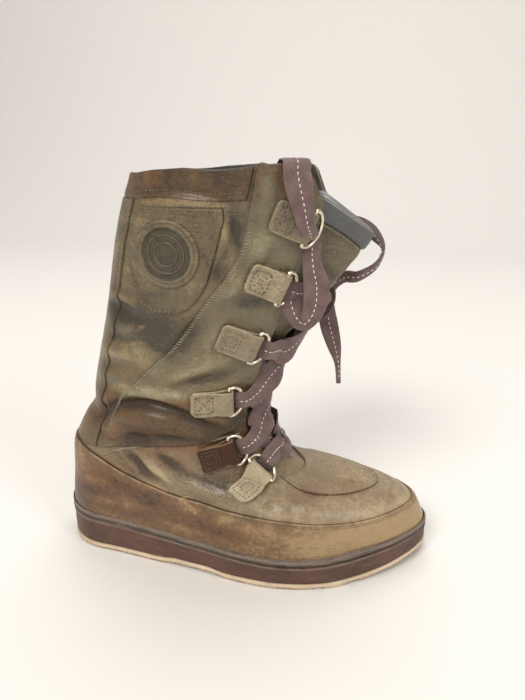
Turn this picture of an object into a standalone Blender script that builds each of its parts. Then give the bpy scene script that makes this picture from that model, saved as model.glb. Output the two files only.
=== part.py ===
"""Right mukluk: a tall lace-up winter boot, standing empty on its sole.

Toe towards +X, lateral side towards -Y, floor at z = 0, origin on the floor under the heel.
Tables are in millimetres; everything built from them is in metres.
"""
import math

import bmesh
import bpy
import numpy as np

for old in list(bpy.data.objects):
    bpy.data.objects.remove(old, do_unlink=True)

MM = 0.001
GAP = 0.3 * MM            # clearance between pieces that meet
SKIN_GAP = 0.7 * MM       # the same under a curved overlay, whose facets cut its corners

# ---- driving sizes -----------------------------------------------------------------------
SOLE_HEEL_X = -36 * MM    # rear end of the sole
SOLE_TOE_X = 253 * MM     # tip of the sole
BALL_HALF = 51 * MM       # half of the greatest sole width
HEEL_ROUND = 36 * MM      # length over which the heel rounds off
TOE_ROUND = 72 * MM       # length over which the toe rounds off
WALL = 2.2 * MM           # leather wall of the upper
TOE_SPRING = 9 * MM       # lift of the toe tip
SPRING_START_X = 172 * MM
WAIST_LIFT = 2 * MM       # lift of the tread under the arch
OUTSOLE_THICK = 4.6 * MM
LUG_DEPTH = 2.1 * MM
BEAD_HIGH = 6.5 * MM      # height of the bead above the ledge it lies on
BEAD_FOOT = 1.8 * MM      # height of the groove at the bead's foot
BEAD_CLEAR = 0.8 * MM     # between the bead and the leather it goes round
RAND_OUT = 2.1 * MM       # outer face of the rand above the upper's skin
PANEL_OUT = 1.9 * MM      # outer face of the shaft's panels above the skin
BAND_OUT = 2.2 * MM       # outer face of collar band and apron above the skin

# sole in plan: x, centre line y, half width before the ends are rounded
SOLE_PLAN = np.array([
    (-36, -0.5, 34.0),
    (0, 0.6, 35.5),
    (42, -2.2, 38.7),
    (84, -5.0, 43.0),
    (124, -5.5, 49.0),
    (150, -3.9, 51.0),
    (175, -0.8, 49.6),
    (200, 3.5, 45.0),
    (222, 7.2, 41.5),
    (240, 10.0, 38.0),
    (253, 11.0, 35.0),
]) * MM

# sections of the upper, from the feather line to the collar.  Each is a ring in a plane that
# runs from a back point to a front point; like_sole says how far it keeps the sole's plan.
#  back_x back_z front_x front_z half centre like_sole dip fullness
UPPER_ROWS = np.array([
    (-32.0, 29.0, 246.5, 27.0, 46.0, 0.0, 1.00, 8.5, 2.0),   # feather line
    (-31.0, 38.0, 246.0, 37.0, 47.0, 0.0, 1.00, 8.0, 2.0),
    (-29.5, 50.0, 241.0, 47.0, 47.0, 0.0, 1.00, 6.0, 2.0),
    (-28.0, 62.0, 232.0, 54.0, 45.0, 0.0, 0.95, 3.5, 2.1),
    (-27.0, 74.0, 216.0, 58.5, 42.0, 0.0, 0.85, 1.5, 2.2),
    (-25.5, 86.0, 192.0, 61.5, 39.5, 0.0, 0.70, 0.0, 2.3),
    (-20.0, 98.0, 167.0, 66.0, 38.0, 0.0, 0.50, 0.0, 2.3),
    (-13.0, 110.0, 149.0, 74.0, 37.0, 0.0, 0.30, 0.0, 2.3),   # throat begins
    (-5.0, 121.0, 135.0, 87.0, 36.5, 0.0, 0.15, 0.0, 2.3),
    (-3.0, 134.0, 125.0, 105.0, 40.0, 0.0, 0.05, 0.0, 2.2),   # ankle
    (1.0, 151.0, 122.0, 124.0, 41.0, 0.0, 0.00, 0.0, 2.2),
    (7.0, 171.0, 128.0, 147.0, 43.0, 0.0, 0.00, 0.0, 2.2),
    (12.5, 192.0, 138.0, 174.0, 45.0, 0.0, 0.00, 0.0, 2.2),
    (17.5, 215.0, 149.0, 203.0, 46.5, 0.0, 0.00, 0.0, 2.2),
    (22.5, 238.0, 160.0, 232.0, 47.5, 0.0, 0.00, 0.0, 2.2),
    (29.0, 262.0, 170.0, 261.0, 48.0, 0.0, 0.00, 0.0, 2.2),
    (38.0, 287.0, 177.0, 296.0, 48.0, 0.0, 0.00, 0.0, 2.2),   # collar
])
UPPER_ROWS[:, [0, 1, 2, 3, 4, 5, 7]] *= MM


# ---- small tools -------------------------------------------------------------------------
def smooth_rows(rows, t):
    """Rows read at places t (0 first row, 1 last), on a curve through every row."""
    n = len(rows) - 1
    padded = np.vstack([2 * rows[0] - rows[1], rows, 2 * rows[-1] - rows[-2]])
    s = np.clip(np.asarray(t, float), 0, 1) * n
    i = np.minimum(s.astype(int), n - 1)
    f = (s - i)[..., None]
    p0, p1, p2, p3 = padded[i], padded[i + 1], padded[i + 2], padded[i + 3]
    return 0.5 * (2 * p1 + (p2 - p0) * f + (2 * p0 - 5 * p1 + 4 * p2 - p3) * f**2
                  + (3 * p1 - p0 - 3 * p2 + p3) * f**3)


def table_at(table, x):
    """Columns of a table read at x, the first column, along a smooth curve."""
    n = len(table) - 1
    t = np.interp(x, table[:, 0], np.arange(n + 1)) / n
    return smooth_rows(table, t)


def ease(x, start, end):
    """0 before start, 1 after end, smooth between."""
    t = np.clip((x - start) / (end - start), 0, 1)
    return t * t * (3 - 2 * t)


def unit(v):
    return v / np.maximum(np.linalg.norm(v, axis=-1, keepdims=True), 1e-12)


def material(name, colour, roughness, metallic=0.0):
    made = bpy.data.materials.new(name)
    made.use_nodes = True
    shader = made.node_tree.nodes["Principled BSDF"]
    shader.inputs["Base Color"].default_value = (*colour, 1)
    shader.inputs["Roughness"].default_value = roughness
    shader.inputs["Metallic"].default_value = metallic
    return made


def solid(name, points, faces, finish):
    """A closed mesh object, normals out, shaded smooth."""
    mesh = bpy.data.meshes.new(name)
    mesh.from_pydata([tuple(p) for p in points], [], [tuple(f) for f in faces])
    work = bmesh.new()
    work.from_mesh(mesh)
    bmesh.ops.remove_doubles(work, verts=work.verts, dist=1e-6)
    bmesh.ops.recalc_face_normals(work, faces=work.faces)
    work.to_mesh(mesh)
    work.free()
    mesh.shade_smooth()
    mesh.set_sharp_from_angle(angle=math.radians(40))
    made = bpy.data.objects.new(name, mesh)
    made.data.materials.append(finish)
    bpy.context.collection.objects.link(made)
    return made


def walls(outer, inner, quads):
    """Two like skins and the rim that closes every open edge between them."""
    n = len(outer)
    edges = {}
    for quad in quads:
        for a, b in zip(quad, quad[1:] + quad[:1]):
            if a != b:
                edges[(a, b)] = edges.get((a, b), 0) + 1
    rim = [(b, a, a + n, b + n) for a, b in edges if (b, a) not in edges]
    faces = [tuple(q) for q in quads] + [tuple(i + n for i in reversed(q)) for q in quads] + rim
    return np.vstack([outer, inner]), faces


def grid_quads(rows, columns, ring=False):
    """Vertex numbers of a grid's faces; ring joins the last column to the first."""
    last = columns if ring else columns - 1
    return [[r * columns + c, r * columns + (c + 1) % columns,
             (r + 1) * columns + (c + 1) % columns, (r + 1) * columns + c]
            for r in range(rows - 1) for c in range(last)]


def sheet_solid(name, outer, inner, finish, ring=False):
    """A solid between two grids of points, each rows x columns x 3."""
    rows, columns = outer.shape[:2]
    points, faces = walls(outer.reshape(-1, 3), inner.reshape(-1, 3),
                          grid_quads(rows, columns, ring))
    return solid(name, points, faces, finish)


# ---- the sole's own functions ------------------------------------------------------------
def sole_width(x):
    """Half width of the sole at x, rounded off at heel and toe."""
    full = table_at(SOLE_PLAN, x)[..., 2]
    heel = np.clip((SOLE_HEEL_X + HEEL_ROUND - x) / HEEL_ROUND, 0, 1)
    toe = np.clip((x - SOLE_TOE_X + TOE_ROUND) / TOE_ROUND, 0, 1)
    return full * np.sqrt(1 - heel**2) * np.sqrt(1 - toe**2)


def sole_centre(x):
    return table_at(SOLE_PLAN, x)[..., 1]


def dip(a):
    """Shape of the dip of the sole's top line, 1 at the ball; a is -1 at heel, 1 at toe."""
    spread = np.where(a < 0.3, 0.85, 0.5)
    return np.exp(-((a - 0.3) / spread) ** 2)


def sole_outline(u, inset):
    """Plan of the sole at angles u round it (0 toe, 0.25 lateral, 0.5 heel), moved inwards."""
    def edge(w):
        a = np.cos(2 * np.pi * w)
        x = SOLE_HEEL_X + (SOLE_TOE_X - SOLE_HEEL_X) * (1 + a) / 2
        side = np.where(np.sin(2 * np.pi * w) >= 0, -1, 1)
        return np.stack([x, sole_centre(x) + side * sole_width(x)], -1)
    here = edge(u)
    along = unit(edge(u + 1e-3) - edge(u - 1e-3))
    inward = np.stack([along[..., 1], -along[..., 0]], -1)
    return here + inward * inset


def tread_lift(x):
    """Height of the tread's lowest face above the floor: flat heel and ball, lifted toe."""
    toe = TOE_SPRING * np.clip((x - SPRING_START_X) / (SOLE_TOE_X - SPRING_START_X), 0, 1) ** 1.8
    waist = WAIST_LIFT * ease(x, 48 * MM, 66 * MM) * (1 - ease(x, 88 * MM, 106 * MM))
    heel = 2 * MM * ease(-x, 26 * MM, 37 * MM)
    return toe + waist + heel


def ledge_height(x):
    """Top of the sidewall's ledge, where bead and upper stand."""
    a = np.clip((x - SOLE_HEEL_X) / (SOLE_TOE_X - SOLE_HEEL_X), 0, 1) * 2 - 1
    row = UPPER_ROWS[0]
    return row[1] + (row[3] - row[1]) * (1 + a) / 2 - row[7] * dip(a) - GAP


# ---- the upper's own function ------------------------------------------------------------
def last(u, v):
    """Outer skin of the upper: u round it (0 front, 0.25 lateral, 0.5 back), v up it."""
    u, v = np.broadcast_arrays(np.asarray(u, float), np.asarray(v, float))
    row = np.moveaxis(smooth_rows(UPPER_ROWS, v), -1, 0)
    back_x, back_z, front_x, front_z, half, centre, like_sole, sag, full = row
    a = np.cos(2 * np.pi * u)
    side = np.where(np.sin(2 * np.pi * u) >= 0, -1, 1)
    sole_x = SOLE_HEEL_X + (SOLE_TOE_X - SOLE_HEEL_X) * (1 + a) / 2
    plan = sole_width(sole_x) / BALL_HALF
    oval = np.clip(1 - np.abs(a) ** full, 0, 1) ** (1 / full)
    width = half * (like_sole * plan + (1 - like_sole) * oval)
    x = back_x + (front_x - back_x) * (1 + a) / 2
    y = like_sole * sole_centre(sole_x) + (1 - like_sole) * centre + side * width
    z = back_z + (front_z - back_z) * (1 + a) / 2 - sag * dip(a)
    return np.stack([x, y, z], -1)


def outward(u, v):
    """Unit normal of the upper's outer skin."""
    step = 2e-3
    low, high = np.clip(v - step, 0, 1), np.clip(v + step, 0, 1)
    round_it = last(u + step, v) - last(u - step, v)
    up_it = last(u, high) - last(u, low)
    return unit(np.cross(up_it, round_it))


def off_last(u, v, distance):
    return last(u, v) + outward(u, v) * np.asarray(distance)[..., None]


# ---- lines on the upper: u round it, v up it --------------------------------------------
THROAT_V = 0.45           # where the throat begins
THROAT_WIDE = 0.075       # half of the throat's opening, as a part of the ring
BACK_STAY_HALF = 0.112    # half of the back stay's width, as a part of the ring
BAND_V = 0.962            # lower edge of the collar band
CORNER_DROP_V = 0.040     # drop of the collar at its front corners

# rand's top edge: x, height
RAND_TOP = np.array([(-30, 92), (-7, 85), (20, 73), (54, 64), (86, 60), (116, 57), (144, 54),
                     (172, 50.5), (200, 48), (229, 48), (250, 48)]) * MM
# ankle seam, top of the quarter: u, v
ANKLE_SEAM = np.array([(0.12, 0.570), (0.14, 0.560), (0.194, 0.535), (0.272, 0.472),
                       (0.343, 0.380), (0.375, 0.330), (0.43, 0.322), (0.5, 0.320)])
# curved seam between front and back panel of the shaft, from the collar down: u, v
PANEL_SEAM = np.array([(0.199, 1.000), (0.196, 0.945), (0.194, 0.900), (0.203, 0.860),
                       (0.222, 0.818), (0.252, 0.744), (0.284, 0.691), (0.316, 0.631),
                       (0.353, 0.560), (0.374, 0.440)])
# moccasin seam of the apron: height v, half width u
APRON_SEAM = np.array([(0.258, 0.0), (0.262, 0.060), (0.272, 0.098), (0.292, 0.120),
                       (0.325, 0.125), (0.360, 0.115), (0.410, 0.098)])


def throat_u(v):
    """Half opening of the throat at v."""
    return THROAT_WIDE * ease(v, THROAT_V, THROAT_V + 0.09) + 1e-4


def collar_v(u, v):
    """v lowered near the throat, where the collar's front corners are rounded off."""
    near = 1 - ease(np.minimum(u, 1 - u), THROAT_WIDE, 0.150)
    return v - CORNER_DROP_V * near**1.5 * ease(v, 0.80, 1.0)


def height_v(u, height):
    """v at which the upper's skin reaches height(x) at angle u."""
    low, high = np.zeros_like(u), np.ones_like(u)
    for _ in range(22):
        mid = (low + high) / 2
        here = last(u, mid)
        above = here[..., 2] > height(here[..., 0])
        low, high = np.where(above, low, mid), np.where(above, mid, high)
    return low


def rand_v(u):
    return height_v(u, lambda x: table_at(RAND_TOP, x)[..., 1])


def side_uv(x, z, side):
    """u, v of the skin's point that lies at x, z in the side view; side -1 lateral."""
    x, z = np.asarray(x, float), np.asarray(z, float)
    low, high = np.full(x.shape, 0.25), np.ones(x.shape)
    for _ in range(24):
        v = (low + high) / 2
        row = np.moveaxis(smooth_rows(UPPER_ROWS, v), -1, 0)
        run, rise = row[2] - row[0], row[3] - row[1]
        above = run * (z - row[1]) - rise * (x - row[0]) > 0
        low, high = np.where(above, v, low), np.where(above, high, v)
    a = np.clip(2 * (x - row[0]) / run - 1, -1, 1)
    u = np.arccos(a) / (2 * np.pi)
    return np.where(side < 0, u, 1 - u), v


def on_side(x, z, side, lift):
    """Point lift above the skin, at x, z in the side view."""
    u, v = side_uv(x, z, side)
    return off_last(u, v, lift + 0 * u)


# ---- sole --------------------------------------------------------------------------------
SOLE_COLUMNS = 68
# cross grooves of the tread: x of the middle, half length; the ones at the toe cut its edge
CROSS_GROOVES = np.array([(-14, 20), (22, 22), (118, 34), (142, 36),
                          (166, 90), (190, 90), (212, 90), (234, 90)]) * MM
GROOVE_WIDE = 6 * MM
ARCH_X, ARCH_LONG, ARCH_WIDE = 72 * MM, 70 * MM, 52 * MM      # recess under the arch
BALL_X, BALL_LONG, BALL_WIDE = 176 * MM, 132 * MM, 5 * MM     # lengthwise groove of the ball


def leather_plan(u, clear):
    """Plan of the rand's outer face near the feather line, moved outwards by clear."""
    return off_last(u, 0.02 + 0 * u, RAND_OUT + clear + 0 * u)[..., :2]


def ring_stack(name, levels, finish, centre_cap=True):
    """Closed block: levels are (inset, height of x, plan) from the bottom to the top."""
    u = np.arange(SOLE_COLUMNS) / SOLE_COLUMNS
    rings = []
    for inset, height, *other in levels:
        plan = other[0](u, inset) if other else sole_outline(u, inset)
        rings.append(np.column_stack([plan, height(plan[:, 0])]))
    points = np.concatenate(rings)
    n = SOLE_COLUMNS
    faces = grid_quads(len(rings), n, ring=True)
    if centre_cap:
        faces += cap_across(0, n) + cap_across((len(rings) - 1) * n, n)
    else:
        first, final = 0, (len(rings) - 1) * n
        faces += [[final + c, final + (c + 1) % n, first + (c + 1) % n, first + c]
                  for c in range(n)]
    return solid(name, points, faces, finish)


def cap_across(start, n):
    """Faces of a flat end, as strips from the lateral edge straight to the medial one."""
    half = n // 2
    strips = [[start + c, start + c + 1, start + (n - c - 1) % n, start + (n - c) % n]
              for c in range(1, half - 1)]
    ends = [[start, start + 1, start + n - 1], [start + half - 1, start + half, start + half + 1]]
    return strips + ends


def make_outsole(finish):
    """Tread plate with its edge standing out, cut by cross grooves and a groove lengthwise."""
    plate = ring_stack("outsole", [
        (0.9 * MM, lambda x: 0 * x),
        (0.0, lambda x: 0 * x + 0.9 * MM),
        (0.0, lambda x: 0 * x + OUTSOLE_THICK - 1.2 * MM),
        (0.4 * MM, lambda x: 0 * x + OUTSOLE_THICK - 0.4 * MM),
        (1.4 * MM, lambda x: 0 * x + OUTSOLE_THICK),
    ], finish)
    boxes = [(x, 0, GROOVE_WIDE, 2 * half) for x, half in CROSS_GROOVES]
    boxes += [(ARCH_X, 0, ARCH_LONG, ARCH_WIDE), (BALL_X, 1 * MM, BALL_LONG, BALL_WIDE)]
    for number, (x, y, long, wide) in enumerate(boxes):
        cut(plate, box_cutter("groove_%d" % number, (x, y, 0), (long, wide, 2 * LUG_DEPTH)))
    bake(plate)
    for vertex in plate.data.vertices:
        vertex.co.z += float(tread_lift(np.float64(vertex.co.x)))
    plate.data.update()
    return plate


def box_cutter(name, centre, size):
    mesh = bpy.data.meshes.new(name)
    work = bmesh.new()
    bmesh.ops.create_cube(work, size=1)
    bmesh.ops.scale(work, vec=size, verts=work.verts)
    bmesh.ops.translate(work, vec=centre, verts=work.verts)
    work.to_mesh(mesh)
    work.free()
    cutter = bpy.data.objects.new(name, mesh)
    bpy.context.collection.objects.link(cutter)
    cutter.hide_render = True
    cutter.display_type = "WIRE"
    return cutter


def cut(target, cutter, operation="DIFFERENCE"):
    modifier = target.modifiers.new(cutter.name, "BOOLEAN")
    modifier.operation = operation
    modifier.object = cutter


def bake(target):
    """Applies the modifiers, and removes the cutters that they used."""
    bpy.context.view_layer.update()
    cutters = [m.object for m in target.modifiers if m.type == "BOOLEAN"]
    seen = target.evaluated_get(bpy.context.evaluated_depsgraph_get())
    mesh = bpy.data.meshes.new_from_object(seen)
    target.modifiers.clear()
    target.data = mesh
    mesh.set_sharp_from_angle(angle=math.radians(40))
    for cutter in cutters:
        bpy.data.objects.remove(cutter, do_unlink=True)


def make_sidewall(finish):
    """Brown rubber cup: one block with a lip round its ledge, where the bead lies."""
    foot = lambda x: tread_lift(x) + OUTSOLE_THICK + GAP
    rim = ledge_height
    return ring_stack("sidewall", [
        (1.8 * MM, foot),
        (1.0 * MM, lambda x: foot(x) + 0.8 * MM),
        (0.8 * MM, lambda x: foot(x) * 0.5 + rim(x) * 0.5),
        (0.9 * MM, lambda x: rim(x) - 2.2 * MM),
        (0.3 * MM, lambda x: rim(x) - 1.6 * MM),
        (0.3 * MM, lambda x: rim(x) - 0.5 * MM),
        (0.8 * MM, rim),
    ], finish)


def make_bead(finish):
    """Foxing bead that lies on the sidewall's ledge, round the leather: a groove, then a roll."""
    base = lambda x: ledge_height(x) + GAP
    return ring_stack("bead", [
        (BEAD_CLEAR, base, leather_plan),
        (0.4 * MM, base),
        (0.4 * MM, lambda x: base(x) + BEAD_FOOT),
        (-0.5 * MM, lambda x: base(x) + BEAD_FOOT + 0.7 * MM),
        (-0.7 * MM, lambda x: base(x) + BEAD_FOOT + 2.0 * MM),
        (0.1 * MM, lambda x: base(x) + BEAD_HIGH - 0.9 * MM),
        (1.2 * MM, lambda x: base(x) + BEAD_HIGH, leather_plan),
        (BEAD_CLEAR, lambda x: base(x) + BEAD_HIGH - 0.8 * MM, leather_plan),
    ], finish, centre_cap=False)


def make_insole(finish):
    """Inner sole that lies on the cup, inside the leather."""
    base = lambda x: ledge_height(x) + GAP
    return ring_stack("insole", [
        (9.6 * MM, base),
        (9.0 * MM, lambda x: base(x) + 3.0 * MM),
        (10.5 * MM, lambda x: base(x) + 4.2 * MM),
    ], finish)


# ---- upper and the leather cut over it ---------------------------------------------------
UPPER_COLUMNS = 36
UPPER_LEVELS = 21


def make_upper(finish):
    """One hollow leather shell, open below, at the collar and at the throat."""
    v = np.linspace(0, 1, UPPER_LEVELS)[:, None]
    c = np.linspace(0, 1, UPPER_COLUMNS + 1)[None, :]
    opened = np.where(v > THROAT_V, throat_u(v), 0)
    u = opened + (1 - 2 * opened) * c
    closed = v <= THROAT_V
    v = collar_v(u, v + 0 * u)
    outer = off_last(u, v, 0 * u).reshape(-1, 3)
    inner = off_last(u, v, -WALL + 0 * u).reshape(-1, 3)
    columns = UPPER_COLUMNS + 1
    same = {}
    for level in range(UPPER_LEVELS):
        if closed[level, 0]:
            same[level * columns + columns - 1] = level * columns
    quads = [[same.get(i, i) for i in quad] for quad in grid_quads(UPPER_LEVELS, columns)]
    points, faces = walls(outer, inner, quads)
    used = sorted({i for face in faces for i in face})
    number = {old: new for new, old in enumerate(used)}
    faces = [tuple(number[i] for i in face) for face in faces]
    return solid("upper", points[used], faces, finish)


def overlay(name, u, v, low, high, finish, ring=False):
    """Leather between two larger forms of the upper's own skin, over a grid of u and v."""
    u, v = np.broadcast_arrays(u, v)
    outer = off_last(u, v, high + 0 * u)
    inner = off_last(u, v, low + 0 * u)
    return sheet_solid(name, outer, inner, finish, ring)


def make_rand(finish):
    u = np.arange(UPPER_COLUMNS) / UPPER_COLUMNS
    t = np.linspace(0, 1, 6)[:, None]
    return overlay("rand", u[None, :], t * rand_v(u)[None, :], SKIN_GAP + 0.1 * MM, RAND_OUT,
                   finish, ring=True)


def seam_walk(seam, count):
    """Points spread evenly along a seam given by a few rows."""
    t = np.linspace(0, 1, count)
    return smooth_rows(seam, t)


def make_front_panel(name, side, finish):
    """Front panel of the shaft: throat edge, collar, curved seam and ankle seam bound it."""
    top = np.vstack([np.column_stack([np.linspace(THROAT_WIDE + 1e-4, 0.180, 4), np.ones(4)]),
                     seam_walk(PANEL_SEAM, 13)])
    share = np.linspace(0, 1, len(top))
    low_u = THROAT_WIDE + 1e-4 + (0.374 - THROAT_WIDE) * share**1.15
    low_v = np.interp(low_u, ANKLE_SEAM[:, 0], ANKLE_SEAM[:, 1]) + 0.010
    t = np.linspace(0, 1, 11)[:, None]
    u = low_u + (top[:, 0] - low_u) * t
    v = low_v + (top[:, 1] - low_v) * t
    u = u if side < 0 else 1 - u
    return overlay(name, u, collar_v(u, v), SKIN_GAP, PANEL_OUT, finish)


def make_back_stay(finish):
    u = np.linspace(0.5 - BACK_STAY_HALF, 0.5 + BACK_STAY_HALF, 9)[None, :]
    v = np.linspace(0.342, BAND_V - 0.006, 14)[:, None]
    return overlay("back_stay", u, v, SKIN_GAP, PANEL_OUT, finish)


def make_collar_band(finish):
    u = np.linspace(0.203, 0.797, 25)[None, :]
    v = np.linspace(BAND_V, 1.0, 3)[:, None]
    return overlay("collar_band", u, v, SKIN_GAP, BAND_OUT, finish)


def make_apron(finish):
    """Plug of the moccasin toe, raised, inside its U seam."""
    v = smooth_rows(APRON_SEAM, np.linspace(0.04, 1, 9))
    s = np.linspace(-1, 1, 9)[None, :]
    return overlay("apron", v[:, 1:] * s, v[:, :1] + 0 * s, SKIN_GAP, BAND_OUT, finish)


# ---- shield patch ------------------------------------------------------------------------
# shield on the lateral shaft, side view: height z, rear edge x, front edge x
SHIELD = np.array([(201.0, 66.0, 71.0), (206, 54.5, 84.5), (214, 48.5, 92.5), (224, 45, 98),
                   (239, 44, 103), (252, 45, 106.5), (261, 48, 109), (267.5, 54, 108.8)]) * MM
MEDALLION_X, MEDALLION_Z, MEDALLION_R = 72.5 * MM, 239.5 * MM, 21 * MM
SHIELD_LIFT = 2.1 * MM


def make_shield(finish):
    rows = smooth_rows(SHIELD, np.linspace(0, 1, 11))
    t = np.linspace(0, 1, 7)[None, :]
    x = rows[:, 1:2] + (rows[:, 2:3] - rows[:, 1:2]) * t
    z = rows[:, :1] + 0 * x
    outer = on_side(x, z, -1, SHIELD_LIFT)
    inner = on_side(x, z, -1, SKIN_GAP)
    return sheet_solid("shield_patch", outer, inner, finish)


def make_medallion(finish):
    """Round raised disc with a rim and plain rings."""
    radius = np.array([0.5, 1.0, 0.97, 0.86, 0.80, 0.40]) * MEDALLION_R
    lift = SHIELD_LIFT + np.array([0.5, 0.5, 1.7, 1.7, 1.2, 1.2]) * MM
    turn = np.arange(20) / 20 * 2 * np.pi
    rings = [on_side(MEDALLION_X + r * np.cos(turn), MEDALLION_Z + r * np.sin(turn), -1, h)
             for r, h in zip(radius, lift)]
    centre = np.array([MEDALLION_X]), np.array([MEDALLION_Z])
    points = np.concatenate(rings + [on_side(*centre, -1, lift[-1]), on_side(*centre, -1, lift[0])])
    n = len(turn)
    final = (len(rings) - 1) * n
    faces = grid_quads(len(rings), n, ring=True)
    faces += [[final + c, final + (c + 1) % n, len(rings) * n] for c in range(n)]
    faces += [[(c + 1) % n, c, len(rings) * n + 1] for c in range(n)]
    return solid("medallion", points, faces, finish)


# ---- tongue ------------------------------------------------------------------------------
TONGUE_V = 0.43           # lower end, under the vamp
TONGUE_TOP_V = 0.985      # top at the wings
TONGUE_DROP_V = 0.070     # how much lower the middle of its top edge ends
TONGUE_HALF = 0.150       # half width, as a part of the ring
TONGUE_THICK = 2.6 * MM
BAND_BULGE = 1.4 * MM     # how far the padded band stands out on each face
PROW = 36 * MM            # how far the slack top flops forward through the throat
PROW_HALF = 0.062
BAND_SHARE = 0.075        # part of the tongue's length under the padded band


def tongue_place(s, t):
    """Middle of the tongue: s -1 to 1 across it, t 0 to 1 up it."""
    u = s * TONGUE_HALF
    middle = np.clip(1 - np.abs(u) / PROW_HALF, 0, 1)
    top = TONGUE_TOP_V - TONGUE_DROP_V * ease(middle, 0, 1)
    v = TONGUE_V + (top - TONGUE_V) * t
    under = -(WALL + 0.6 * MM + TONGUE_THICK / 2 + BAND_BULGE * ease(t, 0.80, 0.92))
    place = off_last(u, v, under + 0 * u)
    forward = PROW * ease(v, 0.70, 0.925) * ease(middle, 0, 0.95)
    sunk = 2.0 * MM * ease(middle, 0, 1)
    place[..., 0] += forward - sunk * (1 - ease(v, 0.68, 0.75))
    return place


def tongue_grid(s, t, thick):
    """Front and back skins of the tongue over a grid."""
    s, t = np.broadcast_arrays(s, t)
    step = 1e-3
    across = tongue_place(s + step, t) - tongue_place(s - step, t)
    along = tongue_place(s, t + step) - tongue_place(s, t - step)
    normal = unit(np.cross(along, across))
    place = tongue_place(s, t)
    return place + normal * thick / 2, place - normal * thick / 2


def make_tongue(finish, band_finish):
    half = np.array([0.12, 0.24, 0.34, 0.42, 0.7, 1.0])
    s = np.concatenate([-half[::-1], [0], half])[None, :]
    t = np.linspace(0.005, 1 - BAND_SHARE, 12)[:, None]
    front, back = tongue_grid(s, t, TONGUE_THICK)
    sheet_solid("tongue", front, back, finish)
    t = np.linspace(1 - BAND_SHARE + 0.005, 0.995, 5)[:, None]
    bulge = np.sqrt(np.clip(1 - ((t - 1 + BAND_SHARE / 2) / (BAND_SHARE / 2 + 0.01)) ** 2, 0, 1))
    front, back = tongue_grid(s, t, (TONGUE_THICK + 2 * BAND_BULGE * bulge)[..., None])
    sheet_solid("tongue_band", front, back, band_finish)


# ---- ring tabs and D-rings ---------------------------------------------------------------
# name, bar centre x and z in the side view, lean of the bar in degrees, length of the tab,
# height of the tab's underside above the upper's skin
RING_ROWS = [
    ("1", 125.0, 79.5, 47, 20, 1.9),
    ("2", 106.5, 98.0, 20, 25, 1.3),
    ("3", 104.5, 139.0, 3, 26, 2.7),
    ("4", 121.8, 179.6, -24, 26, 2.7),
    ("5", 139.2, 219.7, -25, 25, 2.7),
    ("6", 154.3, 256.4, -26, 26, 2.7),
]
WIRE_R = 1.3 * MM
WIRE_SIDES = 6
HOLE_R = 1.8 * MM
FOLD_R = 3.2 * MM
TAB_HALF = 9.6 * MM
RING_HALF = 11.6 * MM     # half width of the ring over the wire's middle
RING_DEEP = 11.0 * MM     # from the bar to the top of the bow
RING_TURN = -12           # degrees that the ring lifts away from the leather


def bar_frame(x, z, lean, side):
    """Place of the bar's foot on the skin, and the directions back, along the bar, and out."""
    turn = math.radians(lean)
    u, v = side_uv(np.array(x), np.array(z), side)
    place, out = last(u, v), outward(u, v)
    flat = np.array([-math.cos(turn), 0, -math.sin(turn)])
    flat[1] = -(flat @ out) / out[1]
    back = unit(flat)
    return place, back, np.cross(out, back), out


def tab_profile():
    """Side outline of the folded tab, (back, height), round the fold then along the leaf."""
    arc = np.radians([270, 225, 180, 135, 90])
    fold = np.column_stack([FOLD_R * np.cos(arc), FOLD_R * np.sin(arc) + FOLD_R])
    return fold


def make_tab(name, x, z, lean, length, lift, side, finish):
    place, back, bar, out = bar_frame(x, z, lean, side)
    fold = tab_profile()
    leaf = [(0.33, 3.3), (0.66, 2.9), (1.0, 2.2), (1.0, 0.0), (0.66, 0.0), (0.33, 0.0)]
    leaf = np.array([(share * length, height * MM) for share, height in leaf])
    outer = np.vstack([fold, leaf])
    turn = np.arange(8) / 8 * 2 * np.pi + np.radians(270)
    hole = np.column_stack([HOLE_R * np.cos(-turn), HOLE_R * np.sin(-turn) + FOLD_R])
    hole = hole[np.argsort((np.arctan2(hole[:, 1] - FOLD_R, -hole[:, 0]) + np.pi / 2) % (2 * np.pi))]
    ring = np.vstack([outer, hole])
    wide = np.array([-1, 0, 1]) * TAB_HALF
    squash = np.linalg.norm(back[[0, 2]])
    side_back = back[[0, 2]] / squash
    side_bar = bar[[0, 2]]
    grids = []
    for w in wide:
        rigid = place + np.outer(ring[:, 0], back) + w * bar + np.outer(ring[:, 1] + lift, out)
        flat = np.array([x, z]) + np.outer(ring[:, 0] * squash, side_back) + w * side_bar
        bent = on_side(flat[:, 0], flat[:, 1], side, ring[:, 1] + lift)
        share = ease(ring[:, 0], 2 * MM, 9 * MM)[:, None]
        grids.append(rigid * (1 - share) + bent * share)
    points = np.concatenate(grids)
    n, m, size = len(outer), len(hole), len(ring)
    faces = []
    for g in range(len(wide) - 1):
        a, b = g * size, (g + 1) * size
        faces += [[a + i, a + (i + 1) % n, b + (i + 1) % n, b + i] for i in range(n)]
        faces += [[a + n + (i + 1) % m, a + n + i, b + n + i, b + n + (i + 1) % m]
                  for i in range(m)]
    cheek = zip_rings(outer, hole)
    top = (len(wide) - 1) * size
    faces += [[i for i in reversed(face)] for face in cheek]
    faces += [[top + i for i in face] for face in cheek]
    return solid(name, points, faces, finish)


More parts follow.
